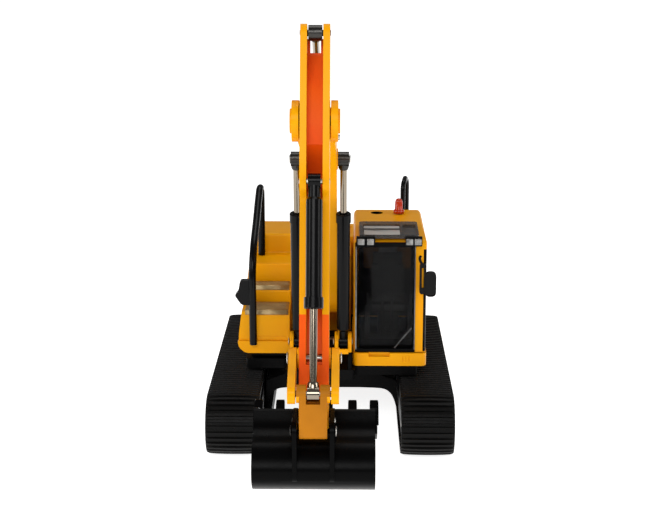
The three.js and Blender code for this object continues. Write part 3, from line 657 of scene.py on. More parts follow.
def deck():
    outline = [(-16, -40), (8.6, -40), (8.6, -34), (31, -34), (31, 54.3), (-31, 54.3), (-31, -27), (-16, -27)]
    floor = plate_xy(rounded(outline, 1.5), DECK_BOTTOM, DECK_TOP)
    extra = []
    for side in (-1, 1):
        low, high = sorted((BOOM_X + side * (BOOM_HALF + GAP), BOOM_X + side * (BOOM_HALF + 2.3)))
        lug = hull([(*BOOM_FOOT, 5.5), (-21, DECK_TOP, 3.6), (1, DECK_TOP, 3.6)])
        extra.append(plate_yz(lug, low, high))
        for _, x in LIFT_SIDES:
            low, high = sorted((x + side * 1.7, x + side * 3))
            ear = hull([(*LIFT_FOOT, 3.6), (-37, DECK_TOP, 2.5), (-30, DECK_TOP, 2.5)])
            extra.append(plate_yz(ear, low, high))
    body = join(floor, *extra)
    bores = [bore(BOOM_FOOT, 1.8)] + [pin_x(LIFT_FOOT, x - 5, x + 5, 1.1) for _, x in LIFT_SIDES]
    body = cut(body, upright(0, 0, 10, 40, 2.9), block(-40, 40, -60, 60, 10, DECK_BOTTOM), *bores)
    webs = [block(x - 1.9, x + 1.9, -40.3, -39.6, LUG_PAINT, LUG_PAINT + 1.9) for _, x in LIFT_SIDES]
    under = block(-40, 40, -60, 60, 0, LUG_PAINT)
    place(common(twin(body), twin(under)), "deck_casting", "revolving_frame", SATIN_BLACK, edge=0.3)
    extra_piece(join(cut(body, under), *webs), "deck_lugs", "revolving_frame", YELLOW, 0.3)
    headed_pin("foot_pin", "boom_foot_pin", BOOM_FOOT, *across(9), 1.5, 2.4, 0.7)
    for side, x in LIFT_SIDES:
        headed_pin(f"lift_foot_pin_{side}_turned", f"lift_foot_pin_{side}", LIFT_FOOT, x - 3.7, x + 3.4, 0.8,
                   1.4, 0.35)


def headed_pin(name, node, where, x0, x1, radius, head, head_length, finish=None):
    length = x1 - x0
    profile = [(0, head * 0.7), (head_length * 0.5, head), (head_length, head), (head_length + 0.01, radius),
               (length - head_length - 0.01, radius), (length - head_length, head),
               (length - head_length * 0.5, head), (length, head * 0.7)]
    pin = turned(profile, (x0, *where), (x1, *where))
    place(pin, name, node, finish or STEEL, edge=0)


def plain_pin(name, node, where, x0, x1, radius, finish=None):
    length = x1 - x0
    profile = [(0, radius * 0.8), (0.2, radius), (length - 0.2, radius), (length, radius * 0.8)]
    place(turned(profile, (x0, *where), (x1, *where)), name, node, finish or STEEL, edge=0)


def counterweight():
    outline = rounded([(-33.5, 54.6), (33.5, 54.6), (33.4, 62), (27, 71), (-27, 71), (-33.4, 62)],
                      [0.1, 0.1, 8, 14, 14, 8], 12)
    weight = plate_xy(outline, DECK_BOTTOM, 57)
    side = rounded([(54.6, 24), (66, 24), (72, 31), (72, 48), (67, 56.8), (54.6, 56.8)],
                   [0.1, 5, 6, 8, 5, 0.1], 10)
    weight = common(weight, plate_yz(side, -40, 40))
    seam = block(-40, 40, 63.8, 64.2, 20, 26)
    lifting = [upright(x, 60, 55.8, 60, 1.6, 32) for x in (-22, 22)]
    grooves = [plate_xz(rect(-20, 20, 33, 33.6, 0.2), 70.8, 75),
               plate_xz(rect(-20, 20, 47, 47.6, 0.2), 70.8, 75)]
    place(cut(weight, seam, *lifting, *grooves), "rear_weight", "counterweight", YELLOW, edge=0.5)


def engine_hood():
    low = DECK_TOP + GAP
    rear = plate_xz(rounded([(-32, low), (32, low), (32, 60), (-32, 60)], [0.5, 0.5, 4, 4]), 30.3, 54.3)
    behind_cab = plate_xz(rounded([(9, low), (33, low), (33, 62), (9, 62)], [0.5, 0.5, 4, 1]), 14, 30.5)
    middle = plate_xz(rounded([(-14.5, low), (7.2, low), (7.2, 58), (-14.5, 58)], 0.8), 8, 30.5)
    body = join(rear, behind_cab, middle)
    cuts = []
    for i in range(6):
        y = 34 + i * 3
        cuts.append(block(-33, -31.3, y, y + 1.4, 38, 54))
        cuts.append(block(31.3, 33, y, y + 1.4, 38, 54))
    for i in range(7):
        y = 16 + i * 1.7
        cuts.append(block(32.4, 34, y, y + 0.9, 48, 57))
    for i in range(8):
        x = -12 + i * 3
        cuts.append(block(x, x + 1.4, 36, 50, 59.4, 61))
    cuts.append(block(-34, 34, 30.3, 30.7, 59.55, 66))
    cuts.append(block(-0.2, 0.2, 31, 54, 59.7, 61))
    body = cut(body, *cuts)
    handles = [block(-24, -18, 52, 53.2, 59.5, 60.2 - 0.25), block(18, 24, 52, 53.2, 59.5, 60.2 - 0.25)]
    place(join(body, *handles), "hood", "engine_hood", YELLOW, edge=0.25)


STEP_FRONT = -28.0
TANK_RIGHT = -15.0


def tank_box():
    bottom = DECK_BOTTOM + 4.3
    lip_low, lip_high = 30.4, 34.9
    steps = [(-25.5, bottom), (-25.5, lip_low), (STEP_FRONT, lip_low), (STEP_FRONT, 44), (-27, 45.5),
             (-16.3, 45.5), (-16.3, 50.3), (-15, 51.5), (-9, 51.5), (-9, 58.8), (7, 58.8), (7, 66.5),
             (29.7, 66.5), (29.7, bottom)]
    radii = [0.1, 0.1, 0.3, 0.5, 0.4, 0.4, 0.5, 0.5, 1, 0.6, 1, 1.4, 0.3, 0.1]
    width = rounded([(-33.5, 36.5), (-33.3, 32.6), (-31.2, lip_low), (-29, lip_low), (-29, bottom),
                     (TANK_RIGHT, bottom), (TANK_RIGHT, 67), (-29.6, 67)], [3, 3, 3, 0.1, 0.1, 0.2, 0.2, 3],
                    8)
    body = common(plate_yz(rounded(steps, radii), -34, TANK_RIGHT), plate_xz(width, -30, 31))
    lip = rounded([(-33.8, lip_high), (-33.4, 32.4), (-31, lip_low), (TANK_RIGHT, lip_low),
                   (TANK_RIGHT, lip_high)],
                  [0.4, 3.4, 3.4, 0.2, 0.2], 8)
    body = join(body, plate_xz(lip, -29, -27))
    seams = [block(-29.4, -16.5, -28.2, -27.85, 36.4, 36.7), block(-33.8, -30, 6.9, 7.3, 30, 67),
             block(-34.5, -33, 10, 27, 58.8, 59.1), block(-34.5, -33, 10, 27, 36, 36.3)]
    filler = upright(-25, 18, 65, 67.5, 2.3, 32)
    body = cut(body, *seams)
    cap_ring = cut(upright(-25, 18, 66, 66.5, 2.6, 32), filler)
    box_piece = place(join(body, cap_ring), "step_box", "tank_box", YELLOW, edge=0.3)
    # painted shade: the faces below the lip are painted black for the shadow under the step box
    repaint(box_piece, SATIN_BLACK, lambda at: at.z < lip_low - 0.1)
    for node, x0, x1, y0, y1, z0, z1 in (("lower_tread", -31, -15.5, -27.6, -16.6, 45.8, 46.5),
                                         ("upper_tread", -30.5, -15.5, -15.6, -9.4, 51.8, 52.5)):
        strip = join(plate_xy(rect(x0, x1, y0, y1, 0.6), z0, z1 - 0.22),
                     plate_yz(rect(y0 - 0.75, y0 + 0.6, z1 - 1.9, z1 - 0.02, 0.35), x0, x1))
        studs = []
        rows = int((y1 - y0 - 1) / 1.15)
        columns = int((x1 - x0 - 1) / 1.15)
        for r in range(rows):
            for c in range(columns):
                x = x0 + 1 + c * 1.15 + (0.5 if r % 2 else 0)
                y = y0 + 1 + r * 1.15
                if x < x1 - 0.6:
                    studs.append(stud(x, y, z1 - 0.3, z1))
        place(gather(strip, *studs), f"{node}_strip", node, TREAD, edge=0)


def stud(x, y, z0, z1):
    ring = [(x + 0.42, y), (x, y + 0.42), (x - 0.42, y), (x, y - 0.42)]
    top = [(x + 0.18, y), (x, y + 0.18), (x - 0.18, y), (x, y - 0.18)]
    verts = [(a, b, z0) for a, b in ring] + [(a, b, z1) for a, b in top]
    faces = [(0, 1, 2, 3), (4, 5, 6, 7)] + [(i, (i + 1) % 4, 4 + (i + 1) % 4, 4 + i) for i in range(4)]
    return new_object(verts, faces)


def handrails():
    x = -28.0
    rail = bar([(x, -30.5, 34.2), (x, -31.6, 50), (x, -32.0, 60), (x + 0.2, -28.6, 67.4),
                (x + 0.6, -14, 76.6), (x + 0.9, -4, 83.2), (x + 1.1, 0, 85.4), (x + 1.25, 3, 84.6),
                (x + 1.3, 4.1, 81), (x + 1.3, 4.2, 76), (x + 1.3, 4.2, 59.1)], 1.35)
    outline = [(x, 58.4), (x - 4.4, 58.4), (x - 5, 54.6), (x - 6.4, 53), (x - 4, 49.4), (x, 49.2)]
    housing = plate_xz(rounded(outline, [0.3, 1, 1, 0.8, 1, 0.3]), -32.6, -29.6)
    place(join(rail, housing), "rail_right", "handrail_right", GLOSS_BLACK, edge=0.2)
    rear = bar([(27, 19, 62.4), (27, 19, 78), (27.1, 19.6, 82.6), (27.6, 22, 84.3), (28.3, 27, 84.3),
                (28.8, 29.4, 82.6), (28.9, 30, 78), (28.9, 30, 62.4)], 0.95)
    place(rear, "rail_left", "handrail_left", GLOSS_BLACK, edge=0)


# ---------------------------------------------------------------- cab
CAB_X0, CAB_X1 = 8.0, 33.8
CAB_FRONT, CAB_REAR = -35.0, 13.0
CAB_FLOOR, CAB_ROOF = 33.0, 75.0
ROOF_HOLE = (16.8, 6)


def cab_base():
    skirt = plate_xy(rect(CAB_X0 - 0.3, CAB_X1 + 0.3, CAB_FRONT - 1, CAB_REAR, 2.4), DECK_TOP + GAP,
                     CAB_FLOOR - GAP)
    notch = block(13.5, 21, -37, -34.6, 31.4, 34)
    marks = [block(25.6 + i * 1.1, 25.9 + i * 1.1, -36.3, -35.8, 29.6, 31.6) for i in range(3)]
    place(cut(skirt, notch, *marks), "cab_skirt", "cab_base", YELLOW, edge=0.5)
    carpet = plate_xy(rect(CAB_X0 + 2.4, CAB_X1 - 2.4, CAB_FRONT + 2.8, CAB_REAR - 2.6, 0.5), CAB_FLOOR - 0.4,
                      CAB_FLOOR - 0.05)
    extra_piece(carpet, "cab_carpet", "cab_base", SATIN_BLACK, 0.05)


def cab_shell():
    front, rear, floor, roof = CAB_FRONT, CAB_REAR, CAB_FLOOR, CAB_ROOF
    profile = rounded([(front, floor), (front - 0.2, 52), (front + 1.4, 73), (front + 3.6, 74),
                       (-8, roof - 0.2), (6, roof), (rear, roof), (rear, floor)],
                      [0.1, 2, 2, 3, 6, 3, 1.6, 0.1], 8)
    shell = common(plate_yz(profile, CAB_X0, CAB_X1),
                   plate_xy(rect(CAB_X0, CAB_X1, front - 1, rear, 2.6), floor, roof))
    # the roof's long edges are rounded over
    crown = plate_xz(rounded([(CAB_X0, floor - 1), (CAB_X1, floor - 1), (CAB_X1, roof), (CAB_X0, roof)],
                             [0.1, 0.1, 2.6, 2.6], 8), front - 2, rear + 1)
    shell = common(shell, crown)
    room = block(CAB_X0 + 1.3, CAB_X1 - 1.3, front + 1.6, rear - 1.3, floor - 1, roof - 3.4)
    screen = plate_xz(rect(CAB_X0 + 0.8, 29.9, floor + 0.4, 71.5, 1.0), front - 3, front + 3)
    sunroof = plate_xy(rect(10.8, 31.2, -31, -15.4, 1.6), 66, 80)
    door = plate_yz(rounded([(-32, 44), (-24, 44), (-10, 48), (-10, 69.5), (-30.6, 69.5), (-32, 52)], 1.4),
                    30, 36)
    rear_side = plate_yz(rect(-7.5, 8, 50, 69.5, 1.4), 30, 36)
    boom_side = plate_yz(rect(-31, 8, 47, 69.5, 1.4), 6, 12)
    back = plate_xz(rect(12, 30, 52, 69.5, 1.4), 10, 16)
    hole = upright(*ROOF_HOLE, roof - 2.2, roof + 1, 2.3, 32)
    door_seam = plate_yz([(-8.85, 35), (-8.55, 35), (-8.55, 71.2), (-8.85, 71.2)], CAB_X1 - 0.25, CAB_X1 + 1)
    handle = plate_yz(rect(-13.5, -10.5, 45.2, 46.4, 0.4), CAB_X1 - 0.4, CAB_X1 - 0.02)
    shell = cut(shell, room, screen, sunroof, door, rear_side, boom_side, back, hole)
    shell = cut(shell, door_seam)
    shell = join(shell, handle)
    door_panel = block(CAB_X1 - 1.1, CAB_X1 + 1, front - 2, -8.8, floor + 0.2, roof - 4.6)
    extra_piece(common(twin(shell), twin(door_panel)), "door_panel", "cab_shell", SATIN_BLACK, 0.2)
    shell = place(cut(shell, door_panel), "cab_body", "cab_shell", YELLOW, edge=0.28)
    # painted shade: the walls of the roof hole are painted black so the hole reads dark
    repaint(shell, SATIN_BLACK,
            lambda at: math.hypot(at.x - ROOF_HOLE[0], at.y - ROOF_HOLE[1]) < 2.4 and at.z < roof - 0.1)
    repaint(shell, SATIN_BLACK, lambda at: (
        CAB_X0 + 1.25 < at.x < CAB_X1 - 1.25 and front + 1.55 < at.y < rear - 1.25 and at.z < roof - 3.35))
    # black surround of the windscreen, with a painted highlight down each side where the clear pane's edge
    # catches the light
    low, high = CAB_X0 + 0.55, 29.95
    surround = plate_xz(rect(low, high, floor + 0.05, 72.9, 0.5), front - 0.5, front + 2.4)
    window = plate_xz(rect(low + 0.9, high - 0.7, floor + 1.2, 71.2, 1.0), front - 3, front + 4)
    slope = plate_yz([(front - 0.36, floor), (front - 0.56, 52), (front + 1.0, 73.8), (front + 1.5, 73.8),
                      (front + 0.5, 52), (front + 0.5, floor)], low - 1, high + 1)
    extra_piece(cut(common(surround, slope), window), "windscreen_surround", "cab_shell", SATIN_BLACK, 0.1)
    # painted highlight: a bright silver strip down each side of the windscreen stands in for light caught by
    # the pane's edge
    for name, x0, x1 in (("inner", low + 0.12, low + 0.52), ("outer", high - 0.34, high - 0.12)):
        strip = common(plate_yz([(front - 0.5, floor + 1), (front - 0.7, 52), (front + 0.72, 71.4),
                                 (front + 1.1, 71.4), (front + 0.4, 52), (front + 0.4, floor + 1)], x0, x1),
                       block(x0, x1, -60, 0, 0, 90))
        extra_piece(strip, f"windscreen_painted_highlight_{name}", "cab_shell", LAMP_SILVER_AND_HIGHLIGHT, 0.06)


def cab_glazing():
    x0, x1 = CAB_X0 + 1.6, CAB_X1 - 1.6
    pane = plate_xz(rect(x0, x1, CAB_FLOOR + GAP, CAB_ROOF - 3.7, 0.8), CAB_FRONT + 1.9, CAB_REAR - 1.6)
    hollow = block(x0 + 0.6, x1 - 0.6, CAB_FRONT + 2.5, CAB_REAR - 2.2, CAB_FLOOR - 1, CAB_ROOF - 4.3)
    place(cut(pane, hollow), "window_insert", "cab_glazing", GLASS, edge=0.12)


def roof_visor():
    low, high = (-34.2, 74.3), (-14.0, 74.9)
    panel = plate_yz([low, high, (high[0], 76.1), (low[0], 75.5)], 10, 31)
    panel = common(panel, plate_xy(rect(10, 31, low[0], high[0], 1.6), 70, 80))
    front_dip = plate_xy(rect(11.4, 24.6, -33.2, -25.6, 0.8), 75.2, 80)
    rear_dip = plate_xy(rect(11.4, 24.6, -24.2, -18.4, 0.8), 75.4, 80)
    side_dip = plate_xy(rect(25.6, 30.2, -33.2, -18.4, 0.8), 75.3, 80)
    place(cut(panel, front_dip, rear_dip, side_dip), "sun_visor", "roof_visor", SMOKED, edge=0.2)
    # painted reflection: the pale panes stand in for reflections on the clear visor
    for name, dip in (("front", rect(11.6, 24.4, -33.0, -25.8, 0.7)),
                      ("rear", rect(11.6, 24.4, -24.0, -20.4, 0.7))):
        height = 75.66 if name == "front" else 75.88
        extra_piece(plate_xy(dip, height - 0.4, height), f"visor_pane_{name}", "roof_visor", VISOR_PAINTED_REFLECTION, 0.1)


def seat_and_controls():
    cushion = plate_yz(rounded([(-12, 41), (0, 41), (0, 44.2), (-10, 44.8), (-12, 43.8)], 1.2), 15, 27)
    back = plate_yz(rounded([(-1.5, 42), (2.5, 42), (5, 60), (1.5, 61)], 1.2), 15.5, 26.5)
    head = plate_yz(rounded([(1.8, 59), (4.6, 59), (4.8, 65.2), (2.2, 65.4)], 1.0), 17.5, 24.5)
    box = block(17, 25, -10, -1, CAB_FLOOR + GAP, 41.5)
    bolsters = [plate_yz(rounded([(-2.6, 44), (1.4, 44), (3.2, 56), (0, 57)], 1.4), *span)
                for span in ((15, 17.2), (24.8, 27))]
    place(join(cushion, back, head, box, *bolsters), "seat", "driver_seat", SEAT_BLACK, edge=0.5)
    left = plate_yz(rounded([(-20, 33.3), (-2, 33.3), (-2, 45), (-17, 46), (-20, 43)], 1.2), 12, 14.2)
    right = plate_yz(rounded([(-20, 33.3), (-2, 33.3), (-2, 45), (-17, 46), (-20, 43)], 1.2), 27.8, 29.6)
    cross_bar = block(12, 29.6, -21, -18.5, 33.3, 35.5)
    levers = [bar([(x, -20, 35), (x + 0.1, -22, 45), (x + 0.1, -21.8, 51)], 0.55) for x in (18.5, 21.8)]
    sticks = [bar([(x, -17, 45.4), (x, -17.6, 49), (x, -17.8, 50.4)], 0.7) for x in (13.1, 28.7)]
    place(gather(join(left, cross_bar, right), *levers, *sticks), "controls", "control_console", SEAT_BLACK,
          edge=0.3)


def cab_fittings():
    y = CAB_FRONT - 1.6
    wiper = bar([(28.6, y, 42.5), (25.4, y, 38.5), (22.6, y, 35)], 0.35, steps=4)
    place(wiper, "wiper_arm", "windscreen_wiper", SEAT_BLACK, edge=0)
    for side, a, b in (("right", 8.9, 15.5), ("left", 26.1, 32)):
        housing = plate_xz(rect(a, b, 72.2, 75.6, 0.3), -37.2, CAB_FRONT - 0.9)
        lamps = [a + (b - a) * t for t in (0.25, 0.75)]
        dips = [plate_xz(rect(m - 1.3, m + 1.3, 72.55, 74.95, 0.3), -38, -36.85) for m in lamps]
        place(cut(housing, *dips), f"lamp_bar_{side}_moulding", f"lamp_bar_{side}", SATIN_BLACK, edge=0.12)
        for i, m in enumerate(lamps):
            lens = plate_xz(rect(m - 1.22, m + 1.22, 72.62, 74.88, 0.3), -37.12, -36.86)
            extra_piece(lens, f"work_lamp_{side}_{i + 1}", f"lamp_bar_{side}", LAMP_SILVER_AND_HIGHLIGHT, 0.08)
    beacon = turned([(0, 2.05), (1.0, 2.05), (1.35, 1.6), (1.5, 1.5), (4.3, 1.42), (5.1, 1.15), (5.5, 0.6),
                     (5.6, 0.1)],
                    (25, 4.5, CAB_ROOF + GAP), (25, 4.5, 90))
    place(beacon, "warning_beacon", "beacon", AMBER, edge=0)
    x = CAB_X1
    bracket = cut(plate_xz(rect(x - 2.6, x - 0.2, 54.8, 66, 1.15), -36.8, -35.6),
                  plate_xz(rect(x - 1.8, x - 1.0, 57, 64.4, 0.38), -38, -35))
    face = plate_xz(rect(x - 0.3, x + 3.0, 54.4, 62.6, 1.4), -37.6, -37.15)
    head = cut(plate_xz(rect(x - 0.6, x + 3.3, 54, 63, 1.7), -37.4, -35.6), face)
    stay = bar([(x - 1.4, -36.2, 65), (x - 2.6, -36.0, 67.6), (x - 2.2, -35.5, 68.4)], 0.5, steps=4)
    head = join(head, stay)
    place(join(bracket, head), "side_mirror", "cab_mirror", GLOSS_BLACK, edge=0.3)


# ---------------------------------------------------------------- boom and cylinders
def boom():
    outline = [(-21.8, 46), (-23.4, 52), (-41, 88), (-50.5, 99.6), (-60, 106.4), (-72, 111.6), (-112, 123.2),
               (-117.5, 123.6), (-121.2, 125.4), (-122.3, 128.8), (-120.6, 132), (-115.6, 133.6),
               (-108, 132.2), (-60, 117.5), (-44, 111.6), (-35, 106), (-29, 98), (-11, 54), (-10, 47),
               (-13, 42.8), (-18.5, 42.4)]
    beam = plate_yz(rounded(outline, 5, 6), *across(BOOM_HALF))
    ears = link([(*STICK_PIVOT, 6), (-105, 127.5, 4.4)], *across(FORK_HALF))
    boss = pin_x(STICK_PIVOT, *across(7.3), 3.6)
    eye_boss = pin_x(LIFT_EYE, *across(6.1), 3.6)
    lugs = link([(*ARM_FOOT, 3), (-40, 103, 6)], *across(4.9))
    slot = link([(*STICK_PIVOT, 8.6), (-105.5, 126, 5), (-106.5, 133, 6), (-126, 150, 9), (-128, 118, 9)],
                *across(FORK_SLOT))
    lug_gap = link([(*ARM_FOOT, 3.9), (-60, 126, 6), (-50, 140, 6), (-22, 124, 6)], *across(3.3))
    bores = [bore(STICK_PIVOT, 1.8), bore(LIFT_EYE, 1.35), bore(ARM_FOOT, 1.3),
             bore(BOOM_FOOT, 1.8)]
    body = cut(join(beam, ears, boss, eye_boss, lugs), slot, lug_gap, *bores)
    place(body, "boom_casting", "boom", YELLOW, edge=0.35)
    plain_pin("elbow_pin", "stick_pivot_pin", STICK_PIVOT, *across(7.3), 1.5)
    headed_pin("lift_cross_pin", "lift_eye_pin", LIFT_EYE, *across(10.4), 1.05, 1.6, 0.4)
    plain_pin("arm_cylinder_pin", "arm_foot_pin", ARM_FOOT, BOOM_X - BOOM_HALF - 1, BOOM_X + BOOM_HALF + 1, 1)


def along(start, end, distance):
    length = math.hypot(end[0] - start[0], end[1] - start[1])
    t = distance / length
    return (start[0] + (end[0] - start[0]) * t, start[1] + (end[1] - start[1]) * t)


def at_x(x, place_yz):
    return (x, place_yz[0], place_yz[1])


def barrel(name, node, x, foot, eye, length, radius, collar, rod, play, eye_half, eye_radius, pin):
    start = eye_radius + 2.4
    profile = [(start, radius * 0.75), (start + 0.8, radius), (length - 3.4, radius), (length - 3.3, collar),
               (length - 0.3, collar), (length, collar - 0.3)]
    tube = turned(profile, at_x(x, foot), at_x(x, eye))
    neck = turned([(0.5, min(eye_half, radius)), (eye_radius + 3, min(eye_half, radius))], at_x(x, foot),
                  at_x(x, eye))
    base = pin_x(foot, x - eye_half, x + eye_half, eye_radius)
    size = math.hypot(eye[0] - foot[0], eye[1] - foot[1])
    flank = (-(eye[1] - foot[1]) / size, (eye[0] - foot[0]) / size)
    near, far = along(foot, eye, eye_radius + 3.6 + rod + play), along(foot, eye, length + 4)
    half = rod + play

    def corner(at, sign):
        return (at[0] + sign * flank[0] * half, at[1] + sign * flank[1] * half)

    slot = plate_yz([corner(near, 1), corner(near, -1), corner(far, -1), corner(far, 1)], x - rod - 0.15,
                    x + rod + 0.15)
    body = cut(join(tube, neck, base), slot, pin_x(foot, x - 10, x + 10, pin + 0.25))
    place(body, name, node, GLOSS_BLACK, edge=0.15)


def ram(name, node, x, foot, eye, reach, rod, eye_half, eye_radius, pin, eye_finish=None):
    shaft = turned([(0.6, rod), (reach - 0.3, rod), (reach, rod - 0.3)], at_x(x, eye), at_x(x, foot))
    neck = turned([(0.6, min(eye_half, rod + 0.6)), (eye_radius + 0.7, min(eye_half, rod + 0.6)),
                   (eye_radius + 1.2, rod + 0.3)], at_x(x, eye), at_x(x, foot))
    head = pin_x(eye, x - eye_half, x + eye_half, eye_radius)
    body = cut(join(shaft, neck, head), pin_x(eye, x - 10, x + 10, pin + 0.25))
    piece = place(body, name, node, CHROME, edge=0.2)
    if eye_finish:
        centre = Vector(at_x(x, eye))
        repaint(piece, eye_finish, lambda at: (at - centre).length < eye_radius + 1.8)


def cylinders():
    for side, x in LIFT_SIDES:
        barrel(f"lift_tube_{side}", f"lift_barrel_{side}", x, LIFT_FOOT, LIFT_EYE, length=49.5, radius=2.3,
               collar=2.6, rod=1.15, play=0.6, eye_half=1.4, eye_radius=2.2, pin=0.8)
        ram(f"lift_ram_{side}", f"lift_rod_{side}", x, LIFT_FOOT, LIFT_EYE, reach=58, rod=1.15, eye_half=1.9,
            eye_radius=2.5, pin=1.05, eye_finish=DARK_STEEL)
    barrel("arm_tube", "arm_barrel", BOOM_X, ARM_FOOT, ARM_EYE, length=54, radius=2.9, collar=3.1, rod=1.2,
           play=1.15, eye_half=2.9, eye_radius=2.6, pin=1)
    ram("arm_ram", "arm_rod", BOOM_X, ARM_FOOT, ARM_EYE, reach=70, rod=1.1, eye_half=2, eye_radius=2.3,
        pin=0.9, eye_finish=DARK_STEEL)
    barrel("bucket_tube", "bucket_barrel", BOOM_X, BUCKET_CYL_FOOT, ROD_END, length=36.5, radius=2.35,
           collar=2.8, rod=1.1, play=0.3, eye_half=1.8, eye_radius=2.2, pin=0.8)
    ram("bucket_ram", "bucket_rod", BOOM_X, BUCKET_CYL_FOOT, ROD_END, reach=46, rod=1.1, eye_half=1.7,
        eye_radius=2.2, pin=0.9)


# ---------------------------------------------------------------- stick, linkage and bucket
_reach = math.hypot(BUCKET_PIVOT[0] - STICK_PIVOT[0], BUCKET_PIVOT[1] - STICK_PIVOT[1])
DOWN = ((BUCKET_PIVOT[0] - STICK_PIVOT[0]) / _reach, (BUCKET_PIVOT[1] - STICK_PIVOT[1]) / _reach)


def on_stick(s, n):
    """s runs down the stick from its pivot, and n runs forward from its axis."""
    return (STICK_PIVOT[0] + s * DOWN[0] + n * DOWN[1], STICK_PIVOT[1] + s * DOWN[1] - n * DOWN[0])


def stick_place(y, z):
    """The reverse of on_stick: how far down the stick and how far forward a place is."""
    dy, dz = y - STICK_PIVOT[0], z - STICK_PIVOT[1]
    return (dy * DOWN[0] + dz * DOWN[1], dy * DOWN[1] - dz * DOWN[0])


def stick():
    side = [(-27.9, -2), (-27.9, 2.2), (-26, 3.4), (-8, 5.6), (12.3, 6.6), (19.9, 6.4), (22.3, 2.2),
            (56.3, 2), (70.3, 2.2), (82.3, 2.4), (85.3, 3), (88.3, 2.4), (89.3, 0), (88.3, -2.4), (85.9, -3),
            (78.3, -3.8), (64.3, -5.6), (38.3, -6.2), (8.3, -7), (-6, -6.4), (-20, -5.4), (-26, -4.8)]
    blade = plate_yz(rounded([on_stick(*p) for p in side], 2.5, 5), *across(STICK_HALF))
    channel = [(-32, 9), (-32, -9), (-24.3, -9), (-24.3, -3.7), (-19, -3.7), (-9, 2.3), (7, 2.3), (11, -1.5),
               (16, -4.6), (38.3, -4.2), (58.3, -3.4), (70.3, -1), (70.3, 8), (28, 9), (0, 12)]
    trough = plate_yz([on_stick(*p) for p in channel], *across(CHANNEL_HALF))
    rod_slot = plate_yz([on_stick(*p) for p in ((-30, -9), (-30, 9), (SLOT_END, 9), (SLOT_END, -9))],
                        *across(ROD_SLOT))
    boss = pin_x(ROCKER_PIVOT, BOOM_X - STICK_HALF - 0.5, BOOM_X + STICK_HALF + 0.5, 3)
    bores = [bore(STICK_PIVOT, 1.8), bore(ARM_EYE, 1.15), bore(BUCKET_CYL_FOOT, 1.05),
             bore(ROCKER_PIVOT, 1.15), bore(BUCKET_PIVOT, 1.15)]
    body = cut(join(blade, boss), trough, rod_slot, *bores)
    casting = place(body, "stick_casting", "stick", YELLOW, edge=0.3)

    # painted shade: the channel floor gets the deeper red-orange in place of the shade and bounce light of
    # the recess
    def gets_painted_channel_shade(at):
        s, n = stick_place(at.y, at.z)
        return abs(at.x - BOOM_X) < CHANNEL_HALF - 0.3 and -24.5 < s < 72 and n < 2.6

    repaint(casting, PAINTED_RECESS_SHADE, gets_painted_channel_shade)
    plain_pin("arm_eye_pin_turned", "arm_eye_pin", ARM_EYE, *across(4.5), 0.9, DARK_STEEL)
    plain_pin("bucket_cylinder_pin", "bucket_cylinder_foot_pin", BUCKET_CYL_FOOT, *across(4.5), 0.8)
    headed_pin("rocker_pin", "rocker_pivot_pin", ROCKER_PIVOT, *across(8), 0.9, 1.7, 0.35)
    plain_pin("bucket_pin", "bucket_pivot_pin", BUCKET_PIVOT, *across(6.3), 0.9)


def linkage():
    for side, sign in (("left", 1), ("right", -1)):
        low, high = sorted((BOOM_X + sign * (STICK_HALF + 0.8), BOOM_X + sign * 7.3))
        plate = link([(*ROCKER_PIVOT, 3), (*ROD_END, 2.9)], low, high)
        plate = cut(plate, bore(ROCKER_PIVOT, 1.15), bore(ROD_END, 1.15))
        place(plate, f"rocker_{side}", f"rocker_plate_{side}", YELLOW, edge=0.35)
    plain_pin("rod_eye_pin", "rod_end_pin", ROD_END, *across(7.3), 0.9)
    body = link([(*LINK_PIVOT, 2.2), (*ROD_END, 2.6)], *across(3.95))
    lugs = link([(*ROD_END, 2.6)], *across(4.8))
    throat = link([(*ROD_END, 3.4), (-140, 75, 4), (-151, 75, 4)], *across(2))
    bores = [bore(ROD_END, 1.15), bore(LINK_PIVOT, 1.4)]
    tipping = place(cut(join(body, lugs), throat, *bores), "tipping_link", "bucket_link", YELLOW, edge=0.3)
    # painted shade: the link's front and lower faces get the darker yellow for the shade they lie in
    repaint(tipping, LINK_PAINTED_SHADE,
            lambda at: abs(at.x - BOOM_X) < 3.7 and at.y < LINK_PIVOT[0] + 1 and at.z < 58)


